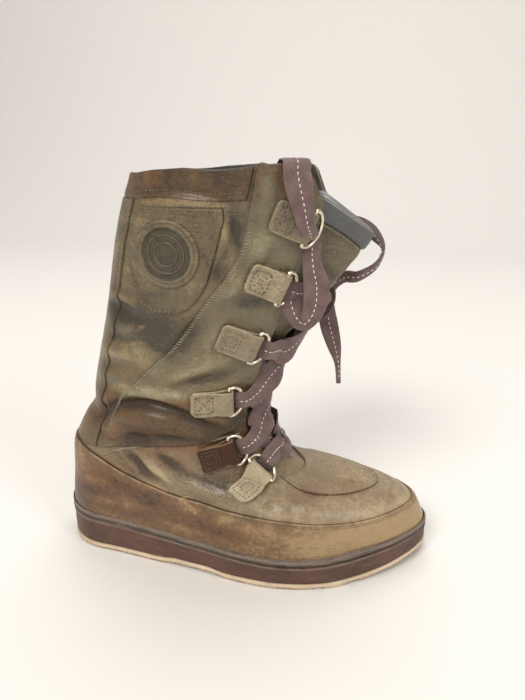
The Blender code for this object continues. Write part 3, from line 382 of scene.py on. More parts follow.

# %% [markdown]
# ## Creases, swells, stain marks and painted shade
# Worn leather keeps the shape of the leg: it folds over the ankle, sags on the shaft and
# wrinkles over the ball. Each main crease is a short row of places in the side view with a
# width and a height, and is laid as a soft trough or ridge. Cloth simulation could
# crumple the shaft too, but would put the folds where it likes. The same field lifts the
# leather, every overlay on it and every stitch, so that nothing sinks or floats.

# %% Table of creases and swells
# side (-1 outer, 1 inner, 0 both), width, height (minus is a trough), then x, z along it, mm
CREASES = [
    # the shaft slumps over the ankle: a lip, the hollow under it and a belly
    (-1, 4.6, 3.4, (0, 121, 10, 128, 22, 135, 34, 140.5, 48, 143.5, 62, 142, 76, 136.5, 90, 128,
                    103, 119)),
    (-1, 4.2, -3.6, (4, 112, 14, 121, 26, 128.5, 38, 133, 50, 135, 64, 133, 78, 127, 92, 118,
                     103, 110)),
    (-1, 7.5, 2.4, (14, 110, 32, 118, 52, 121, 70, 118, 88, 110)),
    (-1, 4.4, -3.2, (26, 101, 34, 102.5, 42, 103.5, 49, 104)),
    (-1, 3.4, -2.0, (54, 107, 61, 108, 69, 108.5, 77, 108)),
    (-1, 3.0, -1.4, (10, 100, 17, 96, 25, 94)),
    (-1, 2.6, 1.2, (6, 108, 12, 103, 19, 99)),
    # heel side of the quarter
    (-1, 3.2, 2.0, (39, 93, 44, 86, 49, 80, 56, 75, 66, 70)),
    (-1, 3.8, -1.7, (51, 92, 57, 85, 64, 80, 75, 75)),
    (-1, 3.2, -1.5, (30, 90, 35, 83, 41, 76, 48, 70)),
    (-1, 2.6, 1.4, (22, 88, 27, 83, 32, 79, 36, 73)),
    (-1, 2.8, -1.3, (14, 86, 20, 82, 26, 78)),
    (-1, 4.0, 1.4, (66, 76, 76, 72, 86, 69, 98, 67)),
    (-1, 3.5, -1.6, (70, 82, 80, 78, 92, 74, 106, 70)),
    # where the foot bends
    (0, 3.2, -1.3, (134, 50, 137, 58, 139, 66)),
    (0, 3.0, 1.1, (140, 49, 144, 58, 146, 67)),
    (0, 3.2, -1.3, (146, 48, 150, 57, 153, 66)),
    (0, 3.2, 0.9, (152, 48, 157, 57, 160, 64)),
    (0, 3.4, -0.8, (160, 48, 164, 55, 168, 61)),
    # front panel of the shaft
    (-1, 4.5, 2.0, (60, 148, 70, 155, 82, 163, 94, 169, 108, 173)),
    (-1, 4.5, -2.2, (66, 146, 78, 152, 92, 156, 104, 158.5, 115, 163)),
    (-1, 4.0, 1.4, (74, 143, 88, 148, 102, 150, 112, 153)),
    (-1, 5.0, -1.5, (64, 168, 74, 177, 84, 188, 90, 199)),
    (-1, 5.0, 1.3, (92, 176, 100, 187, 106, 201)),
    (-1, 4.5, -1.6, (100, 203, 112, 210, 124, 210, 134, 205)),
    (-1, 4.5, 1.3, (104, 212, 114, 219, 120, 230)),
    (-1, 5.0, 1.5, (122, 236, 129, 244, 134, 252)),
    (-1, 4.0, -1.2, (126, 228, 134, 236, 141, 244)),
    (-1, 4.0, 1.0, (132, 262, 134, 274, 134, 286)),
    # back panel of the shaft
    (-1, 3.6, -2.2, (118, 268, 116.5, 256, 113, 245, 107, 233, 101, 223)),
    (-1, 3.0, 1.5, (111.5, 268, 110, 256, 107, 245, 102, 233)),
    (-1, 4.0, 1.8, (56, 268.5, 70, 270, 84, 270.5, 98, 269, 110, 265)),
    (-1, 3.4, -1.0, (54, 273, 68, 275, 84, 276, 102, 274, 114, 270)),
    (-1, 3.0, 1.5, (22, 209, 32, 208.5, 42, 206.5, 52, 203)),
    (-1, 4.0, -1.5, (20, 202, 32, 201, 46, 197)),
    (-1, 5.0, 1.2, (20, 190, 34, 188, 50, 190, 62, 196)),
    (-1, 5.0, -1.3, (22, 179, 36, 179, 52, 182)),
    (-1, 5.5, 1.8, (16, 168, 30, 171, 44, 170, 58, 164)),
    (-1, 4.5, -1.8, (16, 158, 28, 162, 42, 160, 54, 154)),
    (-1, 4.5, 1.4, (12, 148, 24, 151, 36, 149, 48, 149)),
    # inner side, where the folds run on
    (1, 5.0, 3.0, (0, 121, 14, 131, 32, 138, 52, 140, 72, 135, 92, 126)),
    (1, 4.6, -3.2, (6, 112, 20, 123, 38, 130, 56, 130, 76, 124, 94, 115)),
    (1, 7.0, 1.8, (2, 152, 26, 160, 56, 160, 84, 154)),
    (1, 6.0, -1.7, (6, 166, 30, 174, 58, 172, 88, 164)),
    (1, 7.0, 1.4, (20, 204, 50, 210, 84, 204, 108, 196)),
    (1, 6.5, -1.3, (18, 192, 48, 198, 80, 192, 104, 184)),
    (1, 5.0, 1.8, (42, 268, 60, 270, 90, 270, 114, 264)),
    (1, 4.0, -1.2, (36, 276, 64, 278, 94, 277, 122, 270)),
    (1, 4.0, -2.6, (30, 100, 44, 102, 58, 105, 72, 106)),
    (1, 3.6, 1.8, (44, 88, 54, 80, 66, 74, 84, 70)),
    (1, 4.0, -1.4, (52, 90, 64, 83, 80, 78, 98, 74)),
]
# swells: side, centre x and z, half length, half height, turn in degrees, height, mm
SWELLS = [
    (0, 46, 121, 40, 11, 4, 2.2),
    (0, -12, 112, 12, 9, 40, 1.0),
    (-1, 36, 166, 26, 16, 6, 1.4),
    (-1, 48, 190, 24, 12, 0, -1.4),
    (-1, 96, 190, 16, 22, -20, -0.9),
    (-1, 84, 158, 22, 10, 8, 1.0),
    (-1, 120, 244, 14, 18, -20, 0.9),
    (-1, 100, 214, 12, 16, -30, 0.8),
    (1, 60, 200, 40, 30, 0, 1.0),
]
CREASE_SAMPLES = 40
# how far a crease reaches, and its soft lip: place, width and height, in widths and heights
CREASE_REACH, LIP_PLACE, LIP_WIDE, LIP_HIGH = 3.2, 1.9, 0.8, 0.22


# %% The field of creases
def crease_paths():
    """Each crease as points on the last, its bell's width and its height, in metres."""
    paths = []
    for side, width, height, flat in CREASES:
        rows = np.array(flat, float).reshape(-1, 2) * MM
        xz = smooth_rows(rows, np.linspace(0, 1, CREASE_SAMPLES))
        for hand in (-1, 1):
            if side in (0, hand):
                u, v = side_uv(xz[:, 0], xz[:, 1], hand)
                paths.append((last(u, v), width * MM, height * MM))
    return paths


CREASE_PATHS = crease_paths()
WAVES = np.random.default_rng(7).normal(size=(9, 3))
WAVE_TURN = np.random.default_rng(8).uniform(0, 2 * np.pi, 9)
WAVE_LENGTHS = np.array([62, 48, 40, 33, 28, 24, 20, 17, 15]) * MM
WAVE_HEIGHT = 0.16 * MM


def oval_bell(points, side, x, z, long, high, turn):
    """A bell over a turned oval in the side view, on one side (-1, 1) or both (0), in mm."""
    dx, dz = points[..., 0] - x * MM, points[..., 2] - z * MM
    c, s = math.cos(math.radians(turn)), math.sin(math.radians(turn))
    reach = np.hypot((dx * c + dz * s) / (long * MM), (dz * c - dx * s) / (high * MM))
    hand = np.where(points[..., 1] < 0, -1, 1)
    return np.where((hand == side) | (side == 0), bell(reach), 0)


def relief(skin):
    """Sum of bells over the distance to each crease, tapered at its ends, swells and waves."""
    shape = skin.shape[:-1]
    points = skin.reshape(-1, 3)
    height = np.zeros(len(points))
    for path, width, rise in CREASE_PATHS:
        reach = CREASE_REACH * width
        near = np.all((points > path.min(0) - reach) & (points < path.max(0) + reach), axis=1)
        if not near.any():
            continue
        gaps = np.linalg.norm(points[near][:, None] - path[None], axis=2)
        place = gaps.argmin(1)
        gap = gaps[np.arange(len(place)), place]
        taper = np.sqrt(np.sin(np.pi * np.clip(place / (CREASE_SAMPLES - 1), 0.02, 0.98)))
        lip = LIP_HIGH * bell((gap - LIP_PLACE * width) / (LIP_WIDE * width))
        height[near] += rise * taper * (bell(gap / width) - lip)
    for *oval, rise in SWELLS:
        height += rise * MM * oval_bell(points, *oval)
    for wave, turn, length in zip(unit(WAVES), WAVE_TURN, WAVE_LENGTHS):
        height += WAVE_HEIGHT * np.sin(points @ wave * 2 * np.pi / length + turn)
    fade = ease(points[:, 2], 46 * MM, 62 * MM) * ease(300 * MM - points[:, 2], 4 * MM, 16 * MM)
    toe = 1 - 0.8 * ease(points[:, 0], 165 * MM, 200 * MM)
    behind = (points[:, 0] < 60 * MM) * (1 - ease(np.abs(points[:, 1]), 8 * MM, 31 * MM))
    return (height * fade * toe * (1 - 0.9 * behind)).reshape(shape)


# %% Stain ovals, worn places, painted shade and painted highlights
# side, centre x and z, half length, half height in mm, turn in degrees, amount (minus is dark),
# share of brown; besides stain marks, some ovals are painted shade in troughs and painted
# highlights on ridges
STAINS_AND_PAINTED_LIGHT = [
    # painted shade in the hollow under the slumped lip, and the belly's own brown
    (-1, 50, 134, 34, 4.5, 0, -1.2, 0.8),
    (-1, 88, 121, 16, 4.5, -36, -1.5, 0.9),
    (-1, 16, 121, 14, 4, 42, -0.8, 0.7),
    (0, 54, 119, 60, 19, 3, -1.2, 2.0),
    # painted highlight along the belly's crest
    (-1, 48, 122, 15, 3, 4, 0.5, 0.0),
    # painted shade in the dents under the belly, then a darker patch above the second tab
    (-1, 38, 102.5, 12, 4, 2, -1.5, 0.4),
    (-1, 65, 108.5, 13, 3, 2, -1.2, 0.4),
    (-1, 92, 108, 14, 4, -10, -0.9, 0.5),
    # painted highlight along the slumped lip
    (-1, 46, 144, 36, 3.5, 0, 1.3, -0.8),
    (-1, 94, 128, 14, 3, -34, 1.2, -0.6),
    # a lighter patch near the heel
    (-1, 14, 104, 10, 12, 30, 0.35, 0.2),
    # quarter: a painted highlight on the glossy ridge, then painted shade in the troughs on either
    # side of it
    (-1, 53, 78, 14, 2.8, -42, 0.8, -0.4),
    (-1, 63, 88, 15, 4.5, -34, -1.9, 0.3),
    (-1, 38, 80, 8, 3.5, -50, -1.9, 0.2),
    # light and dark marks on the quarter and the foot
    (-1, 28, 86, 5, 7, 20, -1.1, 0.0),
    (-1, 22, 84, 6, 2, -50, 0.7, 0.0),
    (-1, 96, 78, 16, 6, -10, -0.5, 0.2),
    (-1, 94, 68, 24, 9, -14, -0.4, -1.0),
    (-1, 150, 58, 26, 12, 0, 0.35, -0.1),
    (0, 190, 60, 30, 12, 0, 0.45, 0.0),
    (-1, 162, 64, 14, 2.5, -5, -0.5, 0.3),
    (-1, 194, 62, 10, 2.2, -5, -0.5, 0.3),
    # back panel
    (-1, 46, 193, 27, 11, -6, -1.5, -0.1),
    (-1, 26, 199, 10, 9, 0, -0.9, 0.0),
    (-1, 27, 216, 7, 16, 8, -0.7, 0.2),
    (-1, 68, 184, 12, 16, 30, -0.8, 0.0),
    (-1, 50, 190, 3, 1.2, 30, 2.2, 0.0),
    (-1, 45, 178, 5, 0.9, 6, 2.2, 0.0),
    (-1, 34, 168, 20, 5, 6, 1.0, 0.0),
    (-1, 48, 160, 16, 6, 20, 0.7, 0.0),
    (-1, 26, 152, 18, 5, 10, -0.5, 0.3),
    # painted highlight on the ridge of a crease
    (-1, 34, 208, 13, 1.8, -6, 1.1, 0.0),
    # painted highlight on the ridge under the collar
    (-1, 82, 269.5, 34, 3, 0, 1.0, -0.4),
    # light and dark marks
    (-1, 38, 222, 3, 9, -20, 0.8, 0.0),
    (-1, 60, 214, 12, 2.5, 12, -0.8, 0.1),
    (-1, 84, 240, 4, 10, 12, 0.7, 0.0),
    (-1, 36, 252, 10, 3, 10, -0.7, 0.0),
    (-1, 20, 112, 10, 3, 40, 0.9, 0.0),
    (-1, 30, 96, 12, 3, -12, -0.9, 0.1),
    (-1, 60, 94, 12, 3, -6, 0.8, -0.2),
    (-1, 92, 284, 62, 13, 0, -1.0, 1.2),
    (-1, 44, 286, 3, 8, 5, 0.7, 0.0),
    (-1, 60, 286, 3, 8, 0, 0.8, 0.0),
    (-1, 75, 286, 2.5, 8, 5, -0.8, 0.2),
    (-1, 91, 286, 3, 8, -4, 0.9, 0.0),
    (-1, 106, 284, 3, 8, 0, -0.7, 0.1),
    # painted shade in the trough under the collar
    (-1, 62, 277, 22, 3, 4, -0.5, 0.7),
    # the collar's brown on the inner side
    (1, 84, 285, 50, 9, 0, -0.6, 1.2),
    # painted shadow in the trough beside the shield, then painted highlight on the ridge next to
    # it
    (-1, 116, 252, 3.5, 20, 14, -1.5, 0.0),
    (-1, 104, 228, 4, 12, 28, -1.1, 0.0),
    (-1, 109, 254, 2.6, 18, 12, 1.3, 0.0),
    # light and dark marks
    (-1, 54, 206, 12, 5, 20, -0.7, 0.0),
    (-1, 76, 206, 16, 4, 0, 0.5, 0.0),
    (-1, 30, 236, 4, 16, 6, 0.8, 0.0),
    (-1, 92, 244, 4, 16, 8, -0.9, 0.1),
    (-1, 50, 258, 16, 2.5, 2, 0.8, 0.0),
    (-1, 88, 222, 5, 9, 20, 0.8, 0.0),
    (-1, 40, 188, 8, 3, 24, 0.9, 0.0),
    (-1, 62, 176, 9, 3, -20, -0.9, 0.0),
    (-1, 30, 178, 4, 8, 12, -0.7, 0.0),
    # front panel
    # painted highlight on a ridge, then painted shade in the trough below it
    (-1, 88, 163, 18, 3.6, 22, 1.2, -0.2),
    (-1, 94, 156, 20, 3.2, 10, -1.2, 0.2),
    # painted shade in a trough, then painted highlight on the ridge beside it
    (-1, 84, 190, 7, 16, -30, -1.0, 0.1),
    (-1, 99, 182, 6, 12, -30, 1.0, 0.0),
    # a light mark
    (-1, 92, 210, 5, 22, -42, 0.7, 0.2),
    # painted shade in a trough, then painted highlight on the ridge beside it
    (-1, 122, 209, 15, 4, 4, -1.0, 0.0),
    (-1, 112, 214, 6, 7, 0, 0.9, -0.4),
    # painted sheen: two glossy light spots
    (-1, 129, 247, 7, 6, 0, 0.5, -0.8),
    (-1, 134, 281, 5, 8, 0, 0.5, -0.8),
    # light and dark marks
    (-1, 126, 262, 5, 16, 0, -0.5, -0.4),
    (-1, 104, 144, 10, 3, 10, -0.8, 0.4),
    (-1, 107, 119, 9, 12, -20, -1.6, 0.2),
    (-1, 72, 150, 12, 4, 30, 0.7, 0.0),
    # rand
    (0, -18, 62, 16, 16, 0, 0.2, 0.1),
    (0, 14, 56, 24, 12, 0, -0.35, 0.1),
    (-1, 60, 44, 18, 8, -8, -0.5, 0.1),
    (-1, 98, 40, 18, 6, -6, -0.4, 0.2),
    (-1, 78, 52, 10, 6, 0, 0.5, 0.0),
    (-1, 128, 46, 20, 8, 0, 0.6, 0.0),
    (0, 184, 36, 44, 12, 0, 2.0, -0.5),
    (0, 236, 38, 28, 14, 0, 2.2, -0.6),
    (-1, 22, 62, 22, 4, -10, -0.7, 0.2),
    (-1, 44, 53, 20, 5, -8, -0.7, 0.1),
    (-1, 84, 47, 18, 5, -12, -0.6, 0.1),
    (-1, 68, 37, 18, 2.5, -6, 1.2, 0.0),
    (-1, 104, 50, 10, 4, 20, 1.0, 0.0),
    (-1, 50, 65, 14, 2.5, -12, 1.2, 0.0),
    (-1, 2, 62, 9, 3, 0, 1.2, 0.0),
    (-1, -6, 54, 14, 5, 0, -0.7, 0.1),
    (-1, 26, 44, 5, 7, 10, 0.9, 0.0),
    (-1, 112, 41, 16, 5, -4, -0.6, 0.0),
    (-1, 138, 38, 13, 5, 0, -0.5, 0.0),
    (-1, 34, 74, 20, 2.5, -14, -0.8, 0.2),
    (-1, 72, 60, 3, 1.0, 40, 2.4, 0.0),
    (-1, 79, 55, 7, 0.8, -38, 2.6, 0.0),
    (0, -20, 44, 22, 10, 0, -0.9, 0.3),
    (-1, 6, 46, 16, 3, -6, 0.9, 0.0),
    (-1, 30, 40, 20, 4, -4, -1.1, 0.2),
    (-1, -14, 76, 8, 10, 0, 0.7, 0.0),
    (-1, 120, 60, 30, 8, -4, 0.5, -0.1),
    (-1, 112, 84, 16, 9, 20, -0.5, 0.2),
    # inner side
    (1, 40, 158, 30, 12, 0, -0.8, 0.2),
    (1, 80, 212, 24, 18, 20, 0.6, 0.0),
    # painted shade in two troughs of the inner folds
    (1, 44, 196, 26, 10, 0, -0.9, 0.0),
    (1, 52, 130, 40, 5, 0, -0.9, 0.7),
    # painted highlight on a ridge of the inner quarter
    (1, 56, 78, 16, 4, -36, 0.9, -0.2),
]
OVAL_TONE_DEPTH = 0.62        # tone of an oval whose amount is 1: stain marks, painted shade and painted highlights alike


def stains_and_painted_light(points):
    """Sums of soft ovals in the side view, stain marks and painted shade and highlights: tone,
    lighter above 0, and the share of brown.
    """
    tone, brown = np.zeros(points.shape[:-1]), np.zeros(points.shape[:-1])
    for *oval, amount, warm in STAINS_AND_PAINTED_LIGHT:
        here = oval_bell(points, *oval)
        tone += OVAL_TONE_DEPTH * amount * here
        brown += warm * here
    return tone, brown


def marks_on(skin, edge, height=None):
    """Marks for a piece with two like skins: its stain and painted-light ovals, painted shade in
    its hollows and painted highlight on its ridges, its edges.
    """
    tone, brown = stains_and_painted_light(skin)
    # painted shade in the hollows and painted highlight on the ridges: the tone follows the height
    if height is not None:
        tone = tone + np.clip(height / (5 * MM), -0.6, 0.2)
    return {"tone": both(tone), "brown": both(brown), "edge": both(edge)}


print("creases:", len(CREASE_PATHS), " stains:", len(STAINS_AND_PAINTED_LIGHT))

# %% [markdown]
# ## Finishes
# The leather is oiled and waxed: it darkens where it is wet or rubbed, and lightens where it
# is pulled over an edge. One node group makes that effect, and every leather of the boot
# places it with its own colours. Numbers kept at the points of each piece ("tone",
# "brown" and "edge") tell it where the stain marks, the painted shade in hollows and creases,
# the painted highlights on ridges and the rubbed edges are, so it follows the surface.

# %% Helpers for shader nodes
def node(tree, kind, inputs=None, **settings):
    """A new node, its inputs given as constants or as the sockets that feed them."""
    made = tree.nodes.new(kind)
    for key, value in settings.items():
        setattr(made, key, value)
    for key, value in (inputs or {}).items():
        if isinstance(value, bpy.types.NodeSocket):
            tree.links.new(value, made.inputs[key])
        else:
            made.inputs[key].default_value = value
    return made


def calc(tree, operation, a, b=0.0, c=0.0):
    """A Math node of up to three constants or sockets."""
    return node(tree, "ShaderNodeMath", {0: a, 1: b, 2: c}, operation=operation).outputs[0]


def mix(tree, share, a, b, blend="MIX"):
    """Colour a turning into colour b as share goes from 0 to 1."""
    made = node(tree, "ShaderNodeMix", {0: share, 6: a, 7: b}, data_type="RGBA",
                blend_type=blend)
    return made.outputs[2]


def spread(tree, value, start, end, low=0.0, high=1.0):
    """value from start to end turned smoothly into low to high."""
    made = node(tree, "ShaderNodeMapRange", {0: value, 1: start, 2: end, 3: low, 4: high},
                interpolation_type="SMOOTHSTEP")
    return made.outputs[0]


def noise(tree, where, scale, detail=4.0, rough=0.6, warp=0.0):
    """Noise in the object's own space, in cells of 1 / scale metres."""
    made = node(tree, "ShaderNodeTexNoise", {"Vector": where, "Scale": scale, "Detail": detail,
                                             "Roughness": rough, "Distortion": warp})
    return made.outputs[0]


def colour(*rgb):
    """Red, green and blue, with full alpha."""
    return (*rgb, 1.0)


# %% Node group: oiled leather
def leather_group():
    """Colour, roughness and height of oiled leather, from its stain marks, painted shade and
    highlights, edges and grain.
    """
    tree = bpy.data.node_groups.new("oiled leather", "ShaderNodeTree")
    sockets = [("Dark", "Color"), ("Base", "Color"), ("Light", "Color"), ("Worn", "Color"),
               ("Mottle", "Float"), ("Grain", "Float"), ("Rough", "Float")]
    for name, kind in sockets:
        tree.interface.new_socket(name, in_out="INPUT", socket_type="NodeSocket" + kind)
    for name, kind in [("Color", "Color"), ("Roughness", "Float"), ("Height", "Float")]:
        tree.interface.new_socket(name, in_out="OUTPUT", socket_type="NodeSocket" + kind)
    given = tree.nodes.new("NodeGroupInput").outputs
    where = node(tree, "ShaderNodeTexCoord").outputs["Object"]
    tone = node(tree, "ShaderNodeAttribute", attribute_name="tone").outputs["Fac"]
    edge = node(tree, "ShaderNodeAttribute", attribute_name="edge").outputs["Fac"]
    brown = node(tree, "ShaderNodeAttribute", attribute_name="brown").outputs["Fac"]
    large = noise(tree, where, 24.0, 5.0, 0.62, 0.4)
    middle = noise(tree, where, 88.0, 6.0, 0.68, 0.6)
    small = noise(tree, where, 340.0, 5.0, 0.75)
    cloud = calc(tree, "MULTIPLY_ADD", large, 1.7, calc(tree, "MULTIPLY_ADD", middle, 2.0,
                 calc(tree, "MULTIPLY_ADD", small, 3.2, -3.45)))
    broken = calc(tree, "MULTIPLY", tone, spread(tree, middle, 0.34, 0.64, 0.7, 1.2))
    cloud = calc(tree, "MULTIPLY", cloud, spread(tree, tone, 0.1, 0.9, 1.0, 0.25))
    level = calc(tree, "MULTIPLY_ADD", cloud, given["Mottle"], broken)
    shade = mix(tree, spread(tree, level, -1.1, 0.05), given["Dark"], given["Base"])
    shade = mix(tree, spread(tree, level, -0.05, 1.1), shade, given["Light"])
    warmth = calc(tree, "MULTIPLY_ADD", middle, 0.8, brown)
    warmth = spread(tree, warmth, 0.15, 1.2)
    shade = mix(tree, warmth, shade, colour(0.95, 0.62, 0.38), "MULTIPLY")
    rubbed = spread(tree, calc(tree, "MULTIPLY_ADD", middle, 1.3, edge), 1.15, 1.75)
    shade = mix(tree, calc(tree, "MULTIPLY", rubbed, 0.5), shade, given["Worn"])
    stretch = node(tree, "ShaderNodeMapping", {"Vector": where, "Rotation": (0.3, 0.9, 0.2),
                                               "Scale": (1.0, 1.0, 9.0)}).outputs[0]
    strokes = noise(tree, stretch, 46.0, 8.0, 0.75, 0.2)
    scratch = calc(tree, "SUBTRACT", 1.0, spread(tree, calc(tree, "ABSOLUTE",
                   calc(tree, "SUBTRACT", strokes, 0.5)), 0.0, 0.009))
    scratch = calc(tree, "MULTIPLY", scratch, spread(tree, large, 0.47, 0.62))
    shade = mix(tree, calc(tree, "MULTIPLY", scratch, 0.32), shade, given["Worn"])
    cells = node(tree, "ShaderNodeTexVoronoi", {"Vector": where, "Scale": given["Grain"],
                 "Randomness": 1.0}, feature="SMOOTH_F1").outputs["Distance"]
    cracks = node(tree, "ShaderNodeTexVoronoi", {"Vector": where, "Scale": 190.0,
                  "Randomness": 1.0}, feature="DISTANCE_TO_EDGE").outputs["Distance"]
    crack = calc(tree, "SUBTRACT", 1.0, spread(tree, cracks, 0.0, 0.05))
    crack = calc(tree, "MULTIPLY", crack, spread(tree, middle, 0.48, 0.68))
    pale = calc(tree, "MULTIPLY", spread(tree, small, 0.3, 0.75), 0.25)
    shade = mix(tree, pale, shade, given["Base"], "SOFT_LIGHT")
    grain = calc(tree, "MULTIPLY_ADD", cells, -0.55, calc(tree, "MULTIPLY", small, 0.7))
    relief_out = calc(tree, "MULTIPLY_ADD", crack, -0.5, grain)
    relief_out = calc(tree, "MULTIPLY_ADD", scratch, -0.35, relief_out)
    sheen = calc(tree, "MULTIPLY_ADD", small, 0.26, given["Rough"])
    sheen = calc(tree, "MULTIPLY_ADD", large, 0.20, sheen)
    sheen = calc(tree, "ADD", sheen, -0.22)
    sheen = calc(tree, "MULTIPLY_ADD", rubbed, 0.12, sheen)
    sheen = calc(tree, "MULTIPLY_ADD", brown, 0.16, sheen)
    made = tree.nodes.new("NodeGroupOutput")
    for socket, value in (("Color", shade), ("Roughness", sheen), ("Height", relief_out)):
        tree.links.new(value, made.inputs[socket])
    return tree


LEATHER = leather_group()


# %% Leathers of the boot
def material(name, metallic=0.0, roughness=0.5, base=(0.5, 0.5, 0.5), **sockets):
    """A material with its constant values set on the shader's own sockets."""
    made = bpy.data.materials.new(name)
    made.use_nodes = True
    shader = made.node_tree.nodes["Principled BSDF"]
    shader.inputs["Metallic"].default_value = metallic
    shader.inputs["Roughness"].default_value = roughness
    shader.inputs["Base Color"].default_value = colour(*base)
    for key, value in sockets.items():
        shader.inputs[key.replace("_", " ")].default_value = value
    return made, made.node_tree, shader


def bump(tree, shader, height, depth, strength=1.0):
    """A Bump node whose height of 1 stands depth metres out."""
    made = node(tree, "ShaderNodeBump", {"Strength": strength, "Distance": depth,
                                         "Height": height})
    tree.links.new(made.outputs[0], shader.inputs["Normal"])


def leather(name, dark, base, light, worn, mottle=0.5, grain=620.0, rough=0.42, depth=0.0006,
            coat=0.22):
    """A material that places the oiled leather with its own four colours and waxy coat."""
    made, tree, shader = material(name, Specular_IOR_Level=0.25 + coat, Coat_Weight=coat,
                                  Coat_Roughness=0.24)
    group = node(tree, "ShaderNodeGroup", node_tree=LEATHER)
    values = {"Dark": colour(*dark), "Base": colour(*base), "Light": colour(*light),
              "Worn": colour(*worn), "Mottle": mottle, "Grain": grain, "Rough": rough}
    for key, value in values.items():
        group.inputs[key].default_value = value
    tree.links.new(group.outputs["Color"], shader.inputs["Base Color"])
    tree.links.new(group.outputs["Roughness"], shader.inputs["Roughness"])
    bump(tree, shader, group.outputs["Height"], depth)
    return made


FOOT_LEATHER = leather("foot leather", (0.055, 0.038, 0.022), (0.207, 0.156, 0.095),
                       (0.42, 0.338, 0.208), (0.50, 0.41, 0.27), mottle=0.7, rough=0.38)
SHAFT_LEATHER = leather("shaft leather", (0.038, 0.031, 0.018), (0.132, 0.105, 0.055),
                        (0.285, 0.232, 0.125), (0.36, 0.30, 0.18), mottle=0.85, rough=0.38)
FRONT_LEATHER = leather("front leather", (0.045, 0.039, 0.024), (0.148, 0.126, 0.074),
                        (0.285, 0.250, 0.152), (0.36, 0.31, 0.20), mottle=0.7, rough=0.36)
RAND_LEATHER = leather("rand leather", (0.046, 0.022, 0.009), (0.150, 0.084, 0.036),
                       (0.34, 0.235, 0.118), (0.46, 0.36, 0.23), mottle=0.95, rough=0.42)
TAB_LEATHER = leather("tab leather", (0.070, 0.056, 0.036), (0.215, 0.180, 0.118),
                      (0.41, 0.355, 0.242), (0.50, 0.43, 0.28), mottle=0.7, grain=900.0)
BROWN_TAB_LEATHER = leather("brown tab leather", (0.022, 0.009, 0.004), (0.050, 0.021, 0.009),
                            (0.095, 0.046, 0.021), (0.36, 0.25, 0.14), mottle=0.7, rough=0.6,
                            coat=0.02)
DISC_LEATHER = leather("disc leather", (0.028, 0.023, 0.014), (0.080, 0.066, 0.036),
                       (0.20, 0.165, 0.095), (0.24, 0.195, 0.12), mottle=0.8)
SHIELD_LEATHER = leather("shield leather", (0.032, 0.027, 0.015), (0.116, 0.092, 0.048),
                         (0.25, 0.20, 0.11), (0.31, 0.26, 0.16), mottle=0.95, rough=0.38)

# %% [markdown]
# The lining is a dark knitted cloth, the tongue's top is padded with smooth grey leather and
# the insole is felt. They only show at the collar, so their patterns stay small and quiet.

# %% Lining, padded band, felt and thread
def cloth(name, dark, base, scale, rough, depth):
    """Knitted or felted cloth: fine cells of two colours with a little fuzz on top."""
    made, tree, shader = material(name, roughness=rough, Sheen_Weight=0.25, Sheen_Roughness=0.5)
    where = node(tree, "ShaderNodeTexCoord").outputs["Object"]
    cells = node(tree, "ShaderNodeTexVoronoi", {"Vector": where, "Scale": scale},
                 feature="F1").outputs["Distance"]
    cloud = noise(tree, where, scale * 0.12, 4.0)
    shade = mix(tree, spread(tree, calc(tree, "MULTIPLY_ADD", cells, -0.6, cloud), -0.1, 0.5),
                colour(*dark), colour(*base))
    tree.links.new(shade, shader.inputs["Base Color"])
    bump(tree, shader, calc(tree, "MULTIPLY_ADD", cells, -1.0, cloud), depth)
    return made


def thread(name, dark, base):
    """Sewing thread, as the finest of the cloths."""
    return cloth(name, dark, base, 2600.0, 0.7, 0.0001)


LINING = cloth("knitted lining", (0.012, 0.011, 0.011), (0.045, 0.040, 0.038), 900.0, 0.9, 0.0004)
FELT = cloth("insole felt", (0.10, 0.075, 0.055), (0.22, 0.175, 0.13), 1400.0, 0.95, 0.0003)
DARK_THREAD = thread("dark thread", (0.06, 0.048, 0.034), (0.13, 0.105, 0.072))
OLIVE_THREAD = thread("olive thread", (0.10, 0.082, 0.048), (0.21, 0.172, 0.105))
PALE_THREAD = thread("pale thread", (0.13, 0.108, 0.066), (0.30, 0.25, 0.16))
LACE_THREAD = thread("lace thread", (0.55, 0.48, 0.44), (0.85, 0.78, 0.74))
BAND_LEATHER = leather("padded band", (0.034, 0.038, 0.042), (0.070, 0.076, 0.080),
                       (0.14, 0.145, 0.145), (0.22, 0.215, 0.20), mottle=0.35, rough=0.30,
                       depth=0.0003, coat=0.45)


